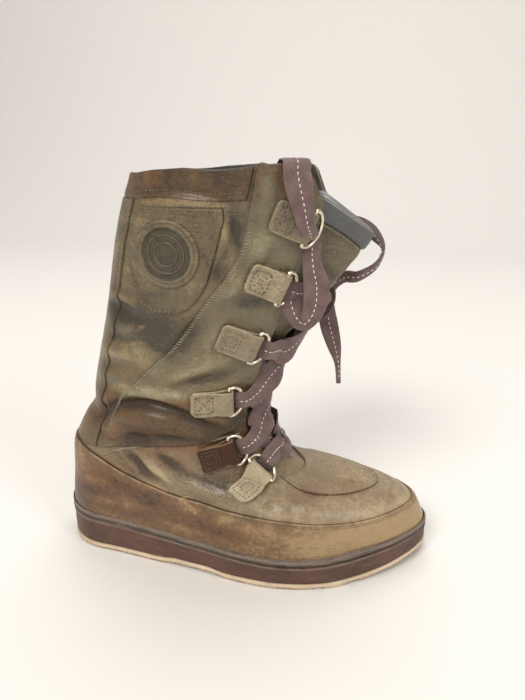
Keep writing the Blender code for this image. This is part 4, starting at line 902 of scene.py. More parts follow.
# %% Rubber and wire
def rubber(name, dark, base, light, rough, depth=0.00025, edge_tint=0.3, ribs=0.0):
    """Moulded rubber: even colour with scuffs along it, a fine matt grain, and ribs
    across it, a sine of the distance round the sole. Where the edge mark is high it turns to its
    third colour: dusted and lighter as a painted highlight on the bead and the cup's lip, and
    darker in the tread's grooves and low on its edge."""
    made, tree, shader = material(name, roughness=rough, Specular_IOR_Level=0.4)
    where = node(tree, "ShaderNodeTexCoord").outputs["Object"]
    edge = node(tree, "ShaderNodeAttribute", attribute_name="edge").outputs["Fac"]
    large = noise(tree, where, 30.0, 5.0, 0.65)
    small = noise(tree, where, 700.0, 4.0, 0.7)
    flat = node(tree, "ShaderNodeMapping", {"Vector": where, "Scale": (1.0, 1.0, 6.0)}).outputs[0]
    smear = noise(tree, flat, 70.0, 7.0, 0.7, 0.3)
    shade = mix(tree, spread(tree, large, 0.3, 0.7), colour(*dark), colour(*base))
    edge_tinted = calc(tree, "MULTIPLY", spread(tree, calc(tree, "MULTIPLY_ADD", edge, 0.30, smear),
                                          0.50, 0.85), edge_tint)
    shade = mix(tree, edge_tinted, shade, colour(*light))
    tree.links.new(shade, shader.inputs["Base Color"])
    sheen = calc(tree, "MULTIPLY_ADD", small, 0.25, calc(tree, "MULTIPLY_ADD", smear, 0.2,
                                                         rough - 0.2))
    tree.links.new(sheen, shader.inputs["Roughness"])
    grain = calc(tree, "MULTIPLY_ADD", smear, 0.6, small)
    if ribs:
        along = node(tree, "ShaderNodeAttribute", attribute_name="along").outputs["Fac"]
        turn = calc(tree, "MULTIPLY", along, 2 * math.pi / (1.5 * MM))
        grain = calc(tree, "MULTIPLY_ADD", calc(tree, "SINE", turn), ribs, grain)
    bump(tree, shader, grain, depth)
    return made


BROWN_RUBBER = rubber("brown rubber", (0.062, 0.030, 0.021), (0.104, 0.051, 0.036),
                      (0.30, 0.23, 0.19), 0.5, edge_tint=0.35)
GREY_RUBBER = rubber("grey rubber", (0.038, 0.029, 0.023), (0.074, 0.057, 0.046),
                     (0.230, 0.180, 0.148), 0.46, edge_tint=0.85, ribs=0.9)
PALE_RUBBER = rubber("pale rubber", (0.49, 0.385, 0.265), (0.64, 0.52, 0.38),
                     (0.19, 0.125, 0.080), 0.6, edge_tint=0.7)


def metal(name, base, dull):
    """Plated wire, brighter where it is rubbed and dull with tarnish in patches."""
    made, tree, shader = material(name, metallic=1.0, roughness=0.3)
    where = node(tree, "ShaderNodeTexCoord").outputs["Object"]
    cloud = noise(tree, where, 260.0, 5.0, 0.7)
    tree.links.new(mix(tree, spread(tree, cloud, 0.35, 0.7), colour(*base), colour(*dull)),
                   shader.inputs["Base Color"])
    tree.links.new(spread(tree, cloud, 0.3, 0.75, 0.16, 0.45), shader.inputs["Roughness"])
    bump(tree, shader, noise(tree, where, 900.0, 3.0), 0.00004)
    return made


NICKEL = metal("nickel wire", (0.86, 0.80, 0.66), (0.58, 0.52, 0.40))


# %% Lace webbing
def webbing():
    """Twill of a flat lace: ribs slanting across it, from the distance along and across."""
    made, tree, shader = material("lace webbing", roughness=0.85, Sheen_Weight=0.3,
                                  Sheen_Roughness=0.4)
    along = node(tree, "ShaderNodeAttribute", attribute_name="along").outputs["Fac"]
    across = node(tree, "ShaderNodeAttribute", attribute_name="across").outputs["Fac"]
    slant = calc(tree, "MULTIPLY_ADD", calc(tree, "ABSOLUTE", across), 0.7,
                 calc(tree, "MULTIPLY", along, 1.0))
    rib = calc(tree, "MULTIPLY_ADD", calc(tree, "SINE", calc(tree, "MULTIPLY", slant,
               2 * math.pi / (1.15 * MM))), 0.5, 0.5)
    warp = calc(tree, "MULTIPLY_ADD", calc(tree, "SINE", calc(tree, "MULTIPLY", across,
                2 * math.pi / (1.0 * MM))), 0.5, 0.5)
    weave = calc(tree, "MULTIPLY_ADD", warp, 0.5, rib)
    where = node(tree, "ShaderNodeTexCoord").outputs["Object"]
    cloud = noise(tree, where, 120.0, 5.0, 0.7)
    level = calc(tree, "MULTIPLY_ADD", weave, 0.28, cloud)
    shade = mix(tree, spread(tree, level, 0.35, 1.05), colour(0.085, 0.050, 0.050),
                colour(0.200, 0.126, 0.118))
    tree.links.new(shade, shader.inputs["Base Color"])
    bump(tree, shader, weave, 0.00022)
    return made


LACE = webbing()
print("finishes:", len(bpy.data.materials))

# %% [markdown]
# ## The lace
# A flat woven lace, 17 mm wide, crosses from ring to ring. Where it goes through a ring it is
# gathered a little and turns over the wire; between rings it opens again and
# stands up in a soft lobe. Each length is a rounded section carried along a path. Its two
# ends are the free cords: one goes over the collar, the other loops out and hangs.

# %% Rings and tabs: where they sit
# name, bar centre x and z in the side view, lean of the bar, length of the tab, its underside
RING_ROWS = [
    ("1", 125.0, 79.5, 47, 20, 1.9),
    ("2", 106.5, 98.0, 20, 25, 1.3),
    ("3", 104.5, 139.0, 3, 26, 2.7),
    ("4", 121.8, 179.6, -24, 26, 2.7),
    ("5", 139.2, 219.7, -25, 25, 2.7),
    ("6", 154.3, 256.4, -26, 26, 2.7),
]
WIRE_R = 1.3 * MM
FOLD_R = 3.2 * MM
TAB_HALF = 9.6 * MM
RING_HALF = 11.6 * MM     # half width of the ring over the wire's middle
RING_DEEP = 11.0 * MM     # from the bar to the top of the bow
RING_TURN = -12           # degrees that the ring lifts away from the leather
THROAT_V, THROAT_WIDE = 0.45, 0.075           # where the throat begins, half its width in u
PROW, PROW_HALF = 36 * MM, 0.062              # how far the tongue's top leans out, half width
SIDES = ((-1, "lateral"), (1, "medial"))


def prow(v, middle):
    """How far the closed front leans forward at v; middle is 1 on its centre line."""
    return PROW * ease(v, 0.70, 0.925) * ease(middle, 0, 0.95)


def bar_frame(x, z, lean, side):
    """The bar's foot on the leather, and the directions back, along the bar, and out."""
    turn = math.radians(lean)
    u, v = side_uv(x, z, side)
    place, out = last(u, v), outward(u, v)
    flat = np.array([-math.cos(turn), 0, -math.sin(turn)])
    flat[1] = -(flat @ out) / out[1]
    back = unit(flat)
    return place, back, np.cross(out, back), out


def ring_frame(row, side):
    """Centre of a ring's bar, and the directions along the bar, to its bow, and up."""
    _, x, z, lean, _, lift = row
    place, back, bar, out = bar_frame(x * MM, z * MM, lean, side)
    rise = math.radians(RING_TURN)
    ahead = -back * math.cos(rise) + out * math.sin(rise)
    up = out * math.cos(rise) + back * math.sin(rise)
    return place + out * (lift * MM + FOLD_R), bar, ahead, up


# %% A rounded band along a path
LACE_WIDE = 17 * MM
LACE_THICK = 1.5 * MM
LACE_SIDES = 20
LACE_STEP = 1.3 * MM
LACE_SQUARE, LACE_SOFT = 0.45, 0.8            # powers that flatten and round its section
LACE_RIPPLE = 0.5 * MM                        # of a gathered band
THREAD_OFF = 0.1 * MM                         # from a face to the middle line of its stitches


def even_path(rows, step):
    """Rows (x y z and more) read along a smooth curve at even distances."""
    fine = smooth_rows(rows, np.linspace(0, 1, 24 * len(rows)))
    length = distance_along(fine[:, :3])
    count = max(8, int(length[-1] / step))
    at = np.linspace(0, length[-1], count)
    return np.stack([np.interp(at, length, column) for column in fine.T], 1), at


def ribbon_frame(points, normals):
    """Directions across the band and out of it, from its path and the way that it faces."""
    tangent = unit(np.gradient(points, axis=0))
    across = unit(np.cross(normals, tangent))
    return across, unit(np.cross(tangent, across))


def ribbon(name, rows, stands_for=(), camber=0.0, puff=0.0):
    """x y z, normal x y z, width: an oval of width by thickness carried along the path; the
    middle of a gathered band bows out by camber, and it thickens as it narrows, by puff."""
    path, along = even_path(rows, LACE_STEP)
    points, width = path[:, :3], path[:, 6]
    across, out = ribbon_frame(points, unit(path[:, 3:6]))
    turn = np.arange(LACE_SIDES) / LACE_SIDES * 2 * np.pi
    wide = np.sign(np.cos(turn)) * np.abs(np.cos(turn)) ** LACE_SQUARE
    high = np.sign(np.sin(turn)) * np.abs(np.sin(turn)) ** LACE_SOFT
    gather = np.clip(1 - width / LACE_WIDE, 0, 1)
    thick = LACE_THICK * (1 + puff * gather)[:, None]
    bow = (camber * gather)[:, None] * (1 - wide**2)
    ripple = LACE_RIPPLE * gather[:, None] * np.cos(3 * np.pi * wide)[None]
    lift = high * thick / 2 + bow + ripple
    grid = points[:, None] + across[:, None] * (wide * width[:, None] / 2)[..., None]
    grid = grid + out[:, None] * lift[..., None]
    ends = np.repeat(points[[0, -1], None], LACE_SIDES, axis=1)
    grid = np.concatenate([ends[:1], grid, ends[1:]])
    along = np.concatenate([along[:1], along, along[-1:]])
    flat = np.broadcast_to(wide * LACE_WIDE / 2, grid.shape[:2])
    marks = {"along": np.broadcast_to(along[:, None], grid.shape[:2]), "across": flat}
    made = tube(name, grid, LACE, stands_for, marks)
    half, crown = thick[:, 0] / 2, bow[:, LACE_SIDES // 4]
    top = points + out * (half + crown + THREAD_OFF)[:, None]
    low = points - out * (half - crown + THREAD_OFF)[:, None]
    LACE_RUNS.extend([(top[3:-3], out[3:-3]), (low[3:-3], -out[3:-3])])
    return made, points


LACE_RUNS = []            # centre lines of the lace's faces, for its white stitches

# %% Crossings between the rings
LACE_END_WIDE = 13.5 * MM
LACE_LIFT = 1.6 * MM
LACE_END_LIFT = 4.6 * MM
BOW_CLEAR = 1.0 * MM      # between a ring's bow and the lace
LACE_START = 3.5 * MM     # from there to the band's first place over the leather
BOOT_TALL = 0.27          # metres from v = 0 to v = 1
# rings joined (outer low, inner high), extra lift in mm, lobe in mm down the boot, width
CROSSINGS = [
    (0, 0, 0.5, 0.0, 15),
    (1, 0, 1.0, 0.0, 16),
    (0, 1, 5.4, -7.0, 22),
    (2, 1, 1.2, 2.0, 16),
    (1, 2, 6.0, 12.0, 22),
    (3, 2, 1.4, 2.0, 17),
    (2, 3, 5.4, 12.0, 20),
    (4, 3, 1.6, -2.0, 17),
    (3, 4, 5.0, -14.0, 19),
]


def lace_place(u, v, lift):
    """Point over the closed front, and over the tongue where it flops forward."""
    middle = np.clip(1 - np.minimum(u, 1 - u) / PROW_HALF, 0, 1)
    place = off_last(u, v, lift)
    place[..., 0] += prow(v, middle)
    return place


def through_ring(row, side):
    """Four points of the lace inside a ring: from under the bow up and over its wire."""
    centre, _, ahead, up = ring_frame(row, side)
    bow = centre + ahead * RING_DEEP
    over = WIRE_R + LACE_THICK / 2 + GAP
    points = np.array([bow - ahead * 5.5 * MM - up * 2.6 * MM,
                       bow - ahead * 2.9 * MM + up * 0.4 * MM,
                       bow - ahead * 0.6 * MM + up * over,
                       bow + ahead * 2.2 * MM + up * over * 0.9])
    normals = np.array([up - ahead * 0.3, up - ahead * 0.8, up, up + ahead * 0.2])
    return points, unit(normals)


def crossing(number, low, high, extra, lobe, width):
    """Band from an outer to an inner ring: lift and lobe are half waves along it."""
    rows = RING_ROWS[low], RING_ROWS[high]
    ends = [through_ring(rows[0], -1), through_ring(rows[1], 1)]
    reach = RING_DEEP + WIRE_R + BOW_CLEAR + LACE_START
    places = []
    for (_, x, z, lean, _, _), side in zip(rows, (-1, 1)):
        _, back, _, _ = bar_frame(x * MM, z * MM, lean, side)
        u, v = side_uv(x * MM - back[0] * reach, z * MM - back[2] * reach, side)
        places.append((float(u), float(v)))
    (u0, v0), (u1, v1) = places
    share = np.linspace(0.04, 0.96, 9)
    wave = np.sin(np.pi * share)
    u = (u0 + (u1 - 1 - u0) * share) % 1.0
    v = v0 + (v1 - v0) * share + lobe * MM / BOOT_TALL * wave * (1 - share)
    lift = LACE_END_LIFT + (LACE_LIFT - LACE_END_LIFT) * wave + extra * MM * wave
    middle = lace_place(u, v, lift)
    to_side = np.array([0.35, 0, 0.1]) + np.array([0, 1.0, 0]) * np.where(
        share < 0.5, -1, 1)[:, None]
    turned = (0.85 * bell((np.minimum(share, 1 - share) - 0.12) / 0.24))[:, None]
    normals = unit(outward(u, v) * (1 - turned) + unit(to_side) * turned)
    points = np.vstack([ends[0][0], middle, ends[1][0][::-1]])
    normals = np.vstack([ends[0][1], normals, ends[1][1][::-1]])
    open_up = np.clip(wave * 2.6, 0, 1)
    widths = LACE_END_WIDE + (width * MM - LACE_END_WIDE) * open_up
    end_widths = np.full(4, LACE_END_WIDE)
    widths = np.concatenate([end_widths, widths, end_widths])
    rows = np.column_stack([points, normals, widths])
    stands_for = ("lace_crossings",) if number == 0 else ()
    return ribbon("lace_crossing_%d" % number, rows, stands_for, camber=2.0 * MM, puff=0.8)


for number, row in enumerate(CROSSINGS):
    crossing(number, *row)

# %% Free ends and slack runs of the lace
# loose end over the collar: u, v, lift above the leather, width
LACE_OVER = np.array([
    (0.118, 0.945, 11.0, 12), (0.130, 0.962, 10.4, 15), (0.139, 0.978, 8.4, 17),
    (0.144, 0.991, 5.4, 17)])
# slack run: out of ring 5, down in a loop, and up under the wire of ring 6: x y z and width
LACE_RUN = np.array([
    (147.2, -27.0, 216.0, 12), (147.6, -31.0, 208.1, 14), (151.2, -33.2, 199.5, 12),
    (156.5, -34.6, 195.4, 10), (161.6, -34.6, 201.6, 13), (163.9, -34.4, 211.2, 16),
    (163.6, -34.0, 221.4, 16), (161.4, -33.0, 230.0, 13), (160.0, -30.6, 239.4, 11),
    (159.6, -26.6, 246.8, 12)]) * MM
# inner end, on from ring 6: a loop beyond the tongue, then the hanging end: x y z and width
LACE_TAIL = np.array([
    (163.0, 33.0, 253.0, 12), (171.0, 36.0, 254.0, 11), (181.0, 34.0, 253.0, 10),
    (191.0, 27.0, 251.0, 10), (199.3, 17.0, 246.2, 10), (205.2, 12.0, 237.4, 9),
    (201.0, 10.0, 226.3, 8), (189.7, 10.0, 218.3, 8), (180.2, 12.4, 217.0, 9),
    (171.8, 15.0, 211.0, 10), (168.0, 11.5, 203.4, 11), (168.9, 6.6, 193.6, 12.5),
    (171.8, 2.8, 182.2, 13), (175.8, 0.2, 169.2, 10), (178.6, -1.8, 157.4, 4.5),
    (179.8, -2.8, 143.2, 3.2)]) * MM
CORNER_DROP_V, CORNER_END_U = 0.040, 0.150    # the collar's front corners: drop, end in u


def near_throat(u):
    """1 at the edge of the throat, falling to 0 where the collar's front corners end."""
    return 1 - ease(np.minimum(u, 1 - u), THROAT_WIDE, CORNER_END_U)


def collar_v(u, v):
    """v lowered near the throat, where the collar's front corners are rounded off; round the
    rest of it the worn edge rises and falls a little."""
    near = near_throat(u)
    uneven = 0.0022 * (np.sin(6 * np.pi * u + 1.0) + 0.7 * np.sin(14 * np.pi * u)) - 0.002
    return v - (CORNER_DROP_V * near**1.5 - uneven * (1 - near)) * ease(v, 0.80, 1.0)


def path_length(points):
    """Length of a line of points."""
    return float(distance_along(points)[-1])


def over_collar():
    """Path and width of the outer end: up from ring 6, over the edge and down inside."""
    u, v, lift, width = LACE_OVER.T
    outside = off_last(u, collar_v(u, v), lift * MM)
    out = outward(u, v)
    rim = last(u[-1:], collar_v(u[-1:], np.ones(1)))
    over = rim + out[-1:] * np.array([[2.4], [-2.0], [-6.8], [-10.4]]) * MM
    over[:, 2] += np.array([0.8, 2.0, 0.8, -2.5]) * MM
    down = np.array([0.975, 0.945, 0.910, 0.880])
    inside = off_last(np.full(len(down), u[-1]), down, np.full(len(down), -12.0 * MM))
    turn = np.radians([35, 80, 125, 165])[:, None]
    over_out = out[-1] * np.cos(turn) + np.array([0, 0, 1.0]) * np.sin(turn)
    points = np.vstack([outside, over, inside])
    normals = np.vstack([out, over_out, -np.repeat(out[-1:], len(down), axis=0)])
    width = np.concatenate([width, np.full(len(over) + len(down), 17.0)]) * MM
    return np.column_stack([points, normals, width])


def mirrored(rows, side):
    """Rows of x y z and width of the outer side: kept for -1, mirrored for 1."""
    return rows * np.array([1, -side, 1, 1])


def slack_rows(rows, side):
    """Rows of x y z and width as rows for a band that faces out to the side."""
    face = np.tile(unit(np.array([0.25, side * 1.0, 0.0])), (len(rows), 1))
    return np.column_stack([rows[:, :3], face, rows[:, 3]])


for (side, hand), word in zip(SIDES, ("outer", "inner")):
    ribbon("lace_run_" + word, slack_rows(mirrored(LACE_RUN, side), side), ("lace_run_" + hand,),
           camber=1.2 * MM, puff=0.5)

outer_rows = np.vstack([slack_rows(LACE_RUN[-1:], -1), over_collar()])
end_lateral, end_path = ribbon("lace_end_outer", outer_rows, ("lace_end_lateral",),
                               camber=1.5 * MM)

tail = np.vstack([mirrored(LACE_RUN[-1:], 1), LACE_TAIL])
share = np.linspace(0, 1, len(tail))
turn = np.radians(np.interp(share, [0, 0.25, 0.36, 0.5, 0.7, 1], [90, 70, 10, -50, -75, -62]))
tail_rows = np.column_stack([tail[:, :3], np.cos(turn), np.sin(turn), 0 * turn, tail[:, 3]])
end_medial, tail_path = ribbon("lace_end_inner", tail_rows, ("lace_end_medial",), puff=0.4)
print("outer end %.0f mm, inner end %.0f mm" % (path_length(end_path) / MM,
                                                 path_length(tail_path) / MM))

# %% [markdown]
# ## The sole
# Three rubber parts: a pale tread plate, a brown cup that the foot stands in, and a ribbed
# grey bead that hides the joint with the leather. Seen from above all three follow one
# outline, moved in or out by up to two millimetres, so each is a stack of outlines.

# %% Outline and heights of the sole
OUTSOLE_THICK = 4.6 * MM
LUG_DEPTH = 2.6 * MM
TOE_SPRING, WAIST_LIFT, HEEL_LIFT = 9 * MM, 2 * MM, 2 * MM
SPRING_START_X = 172 * MM
BEAD_CLEAR = 0.8 * MM     # between the bead and the leather it goes round
RAND_OUT = 2.1 * MM       # of the rand's face over the leather
RING_COLUMNS = 420


def sole_outline(u, inset):
    """Plan at places u round it, moved inwards along its own normal."""
    def edge(w):
        """The outline itself."""
        x = along_sole(np.cos(2 * np.pi * w))
        return np.stack([x, sole_centre(x) + hand_at(w) * sole_width(x)], -1)

    along = unit(edge(u + 1e-3) - edge(u - 1e-3))
    return edge(u) + np.stack([along[..., 1], -along[..., 0]], -1) * inset


def foot_flare(x):
    """How far the rand swells just above the bead: most round the toe."""
    return (0.5 + 2.0 * ease(x, 196 * MM, 240 * MM)) * MM


def leather_plan(u, clear):
    """Plan of the rand's outer face near the feather line, moved outwards by clear."""
    flare = foot_flare(last(u, 0.02 + 0 * u)[..., 0])
    return off_last(u, 0.02 + 0 * u, RAND_OUT + clear + flare)[..., :2]


def tread_lift(x):
    """Height of the tread's face: flat heel and ball, a lifted toe and a hollow waist."""
    toe = TOE_SPRING * np.clip((x - SPRING_START_X) / (81 * MM), 0, 1) ** 1.8
    waist = WAIST_LIFT * ease(x, 48 * MM, 66 * MM) * (1 - ease(x, 88 * MM, 106 * MM))
    return toe + waist + HEEL_LIFT * ease(-x, 26 * MM, 37 * MM)


def ledge_height(x):
    """Top of the cup's ledge, where bead and leather stand."""
    a = np.clip((x - SOLE_HEEL_X) / (SOLE_TOE_X - SOLE_HEEL_X), 0, 1) * 2 - 1
    row = UPPER_ROWS[0]
    return row[1] + (row[3] - row[1]) * (1 + a) / 2 - row[7] * dip(a) - GAP


def ring_stack(name, levels, finish, stands_for, closed_ring=False, worn=None,
               cap_rows=10):
    """Outlines one over the other: (inset, height of x, plan); flat ends close in rows."""
    u = np.arange(RING_COLUMNS) / RING_COLUMNS
    rings = []
    for inset, height, *other in levels:
        plan = other[0](u, inset) if other else sole_outline(u, inset)
        rings.append(np.column_stack([plan, height(plan[:, 0])]))
    grid = np.stack(rings)
    if closed_ring:
        grid = np.concatenate([grid, grid[:1]])
    else:
        def cap(plan, height):
            """Rows that close a flat end, drawn in towards its middle line."""
            mirror = plan[(-np.arange(RING_COLUMNS)) % RING_COLUMNS]
            shares = np.linspace(0, 0.5, cap_rows)[1:, None, None]
            flat = plan[None] * (1 - shares) + mirror[None] * shares
            flat[..., 2] = height(flat[..., 0])
            return flat
        grid = np.concatenate([cap(grid[0], levels[0][1])[::-1], grid,
                               cap(grid[-1], levels[-1][1])])
    ends = 1 if closed_ring else cap_rows - 1
    # worn lightens the rubber by its third colour: dust, and a painted highlight on the top of the
    # bead and on the cup's lip
    edge = np.concatenate([np.zeros(0 if closed_ring else ends), worn, np.zeros(ends)])
    step = np.linalg.norm(np.diff(sole_outline(np.append(u, 1.0), 0.0), axis=0), axis=1)
    marks = {"edge": np.repeat(edge[:, None], RING_COLUMNS, axis=1),
             "along": np.repeat(np.cumsum(step)[None], len(grid), axis=0)}
    return tube(name, grid, finish, stands_for, marks, sharp=50)


# %% Brown cup and grey bead
def foot(x):
    """Height of the cup's foot."""
    return tread_lift(x) + OUTSOLE_THICK + GAP


def between(share):
    """Height a share of the way from the cup's foot to its ledge."""
    return lambda x: foot(x) * (1 - share) + ledge_height(x) * share


# inset, share of the height, how light: the wall, then the lip round the ledge, lighter with dust
# and a painted highlight
CUP_PROFILE = np.array([
    (1.8, 0.0, 0), (1.3, 0.012, 0), (0.9, 0.035, 0), (0.7, 0.12, 0), (0.6, 0.3, 0),
    (0.6, 0.5, 0), (0.65, 0.7, 0), (0.7, 0.845, 0), (0.72, 0.865, 0), (0.45, 0.875, 0.4),
    (0.3, 0.89, 0.9), (0.27, 0.915, 1.0), (0.3, 0.95, 0.9), (0.5, 0.985, 0.6), (0.9, 1.0, 0.2)])
ring_stack("rubber_cup", [(inset * MM, between(share)) for inset, share, _ in CUP_PROFILE],
           BROWN_RUBBER, ("sidewall",), worn=CUP_PROFILE[:, 2])


# inset and height in mm, how light: the groove at the bead's foot, then its round roll, whose top
# is lighter as a painted highlight and dust
BEAD_PROFILE = np.array([
    (1.1, 0.0, 0), (1.1, 1.2, 0), (1.0, 1.35, 0), (0.75, 1.6, 0.1), (0.45, 2.1, 0.5),
    (0.3, 2.9, 0.8), (0.35, 3.7, 1.0), (0.5, 4.6, 1.0), (0.75, 5.4, 1.0)])
BEAD_LIP = np.array([(0.4, 5.9, 1.0), (0.25, 6.05, 0.9), (0.12, 6.0, 0.6), (0.05, 5.8, 0.3),
                     (0.0, 5.5, 0)])


def over_ledge(lift):
    """Height over the ledge, lift in mm."""
    return lambda x: ledge_height(x) + GAP + lift * MM


bead_levels = [(BEAD_CLEAR, over_ledge(0.0), leather_plan)]
bead_levels += [(inset * MM, over_ledge(lift)) for inset, lift, _ in BEAD_PROFILE]
bead_levels += [(clear * MM, over_ledge(lift), leather_plan) for clear, lift, _ in BEAD_LIP]
ring_stack("bead_ring", bead_levels, GREY_RUBBER, ("bead",), closed_ring=True,
           worn=np.concatenate([[0], BEAD_PROFILE[:, 2], BEAD_LIP[:, 2]]))

# %% Pale tread plate, with its grooves
# cross grooves: x of the middle, half length; the ones at the toe cut the edge
CROSS_GROOVES = np.array([(-14, 20), (22, 22), (118, 34), (142, 36),
                          (173, 90), (198, 90), (219, 90), (238, 90)]) * MM
# the edge of the plate, from its foot up: inset and height in mm
TREAD_PROFILE = [(0.9, 0.35), (0.55, 0.9), (0.5, 2.1), (0.4, 2.45), (0.05, 2.65), (0.0, 2.9),
                 (0.0, 3.7), (0.15, 4.05), (0.5, 4.35), (1.0, 4.5), (1.4, 4.6)]
GROOVE_HALF = 3.6 * MM
GROOVE_LINES = np.array([-3.9, -3.6, -3.4, 3.4, 3.6, 3.9]) * MM


def groove_depth(x, y):
    """Depth of the pattern: cross grooves, the hollow under the arch and one groove along."""
    near = np.abs(x[..., None] - CROSS_GROOVES[:, 0])
    across = 1 - ease(near, GROOVE_HALF - 0.2 * MM, GROOVE_HALF + 0.3 * MM)
    across = (across * (np.abs(y)[..., None] < CROSS_GROOVES[:, 1])).max(-1)
    arch = (np.abs(x - 72 * MM) < 35 * MM) & (np.abs(y) < 26 * MM)
    along = (np.abs(x - 176 * MM) < 66 * MM) & (np.abs(y - 1 * MM) < 2.5 * MM)
    deep = np.maximum(across, np.maximum(arch, along).astype(float))
    sipe = 0.5 * MM * (np.sin(2 * np.pi * x / (4.2 * MM)) > 0.55) * (1 - deep)
    return LUG_DEPTH * deep + sipe


def make_tread():
    """Sections across the plate, from toe to heel: underside, inner edge, top, outer edge."""
    x = np.unique(np.round(np.concatenate([
        along_sole(np.cos(np.linspace(0, np.pi, 300))),
        (CROSS_GROOVES[:, :1] + GROOVE_LINES).ravel(),
        np.array([36.9, 37.1, 106.9, 107.1, 109.9, 110.1, 241.9, 242.1]) * MM]), 6))[::-1]
    a = np.clip(2 * (x - SOLE_HEEL_X) / (SOLE_TOE_X - SOLE_HEEL_X) - 1, -1, 1)
    u = np.arccos(a) / (2 * np.pi)
    s = np.unique(np.concatenate([np.linspace(-1, 1, 49), [-0.02, 0.09]]))
    low_out, low_in = sole_outline(u, 1.3 * MM), sole_outline(1 - u, 1.3 * MM)
    share = ((s + 1) / 2)[None, :, None]
    under = low_out[:, None] * (1 - share) + low_in[:, None] * share
    z = groove_depth(under[..., 0], under[..., 1]) + tread_lift(under[..., 0])
    columns = [np.concatenate([under, z[..., None]], -1)]
    # darker with height on the underside, so in its grooves, and low on the plate's edge, most at
    # the heel
    groove_and_foot_dark = [2.5 * z / LUG_DEPTH]
    for sign, order in ((1, TREAD_PROFILE), (-1, TREAD_PROFILE[::-1])):
        for inset, lift in order:
            plan = sole_outline(1 - u if sign > 0 else u, inset * MM)
            deep = groove_depth(plan[:, 0], plan[:, 1])
            edge_z = np.maximum(lift * MM, deep * 0.96) + tread_lift(plan[:, 0])
            columns.append(np.column_stack([plan, edge_z])[:, None])
            low = lift * MM < LUG_DEPTH
            back = 0.6 - 0.3 * ease(plan[:, 0], 146 * MM, 170 * MM)
            groove_and_foot_dark.append((low * (back + 2.5 * deep / LUG_DEPTH))[:, None])
    grid = np.concatenate(columns, axis=1)
    marks = {"edge": np.concatenate(groove_and_foot_dark, axis=1)}
    return tube("tread_plate", grid, PALE_RUBBER, ("outsole",), marks, sharp=45)


make_tread()

# %% [markdown]
# ## The leather shell
# The boot's leather is one skin from the feather line to the collar, open at the throat. Both
# faces are computed on the last, a wall apart, and meet in a rounded edge at the throat and
# the collar. The crease field moves both faces together, so the wall keeps its thickness.

# %% Leather shell
SHELL_COLUMNS, SHELL_ROWS = 262, 168
SHELL_EDGE = 1.2 * MM     # over which the cut edge is rounded
ANKLE_SEAM = np.array([(0.075, 0.588), (0.12, 0.565), (0.14, 0.553), (0.194, 0.517),
                       (0.272, 0.455), (0.343, 0.380), (0.375, 0.340), (0.43, 0.322),
                       (0.5, 0.320)])


def throat_u(v):
    """Half opening of the throat at v."""
    return THROAT_WIDE * ease(v, THROAT_V, THROAT_V + 0.09) + 1e-4


def make_shell():
    """Outer and inner skins over one grid, drawn together where the leather is cut."""
    c = np.linspace(0, 1, SHELL_COLUMNS)
    c = (c + 0.06 * (1 - np.abs(2 * c - 1) ** 6) * (c - 0.5))[None]
    c = (c - c.min()) / (c.max() - c.min())
    v = np.linspace(0, 1, SHELL_ROWS)
    v = (v - 0.03 * v**6 * (1 - v))[:, None]
    opened = np.where(v > THROAT_V, throat_u(v), 0)
    u = opened + (1 - 2 * opened) * c
    v = collar_v(u, v + 0 * u)
    skin, normal = last(u, v), outward(u, v)
    girth, tall = 280 * MM, 250 * MM
    level = v + CORNER_DROP_V * near_throat(u)**1.5
    side = (np.minimum(u, 1 - u) - throat_u(v)) * girth + np.clip(THROAT_V - v, 0, 1) * tall
    rim = np.minimum(side, (1 - np.clip(level, 0, 1)) * tall)
    rim = np.minimum(rim, v * tall)
    closing = (1 - quarter_round(rim, SHELL_EDGE)) * WALL / 2
    height = relief(skin)
    outer = skin + normal * (height - closing)[..., None]
    inner = skin + normal * (height - WALL + closing)[..., None]
    faces = skin_faces(*u.shape)
    count = len(grid_faces(*u.shape))
    kinds = np.zeros(len(faces), int)
    kinds[count:2 * count] = 1
    kinds[shaft_cells(u, v)] = 2
    marks = marks_on(skin, 0.6 * bell(rim / (2 * MM)), height)
    return piece("leather_shell", np.stack([outer, inner]), faces,
                 [FOOT_LEATHER, LINING, SHAFT_LEATHER], ("upper",), marks, kinds)


def shaft_cells(u, v):
    """Numbers of the outer faces that lie above the ankle seam."""
    near = np.minimum(u, 1 - u)
    above = v > np.interp(near, ANKLE_SEAM[:, 0], ANKLE_SEAM[:, 1])
    return np.flatnonzero(above[:-1, :-1].ravel())


make_shell()

# %% [markdown]
# ## Leather laid over the shell
# Rand, apron, shaft panels, back stay, collar band and shield patch are cut from flat hide,
# skived at the edge and sewn on. Each is a patch of the last's own skin, raised by the
# thickness of the hide, with a rounded edge.

# %% A patch of leather
SINK = 0.5 * MM           # how far a patch's hidden underside goes into the leather
DIRT_LINE = 0.6           # how dark the line of dirt at the foot of its edge is


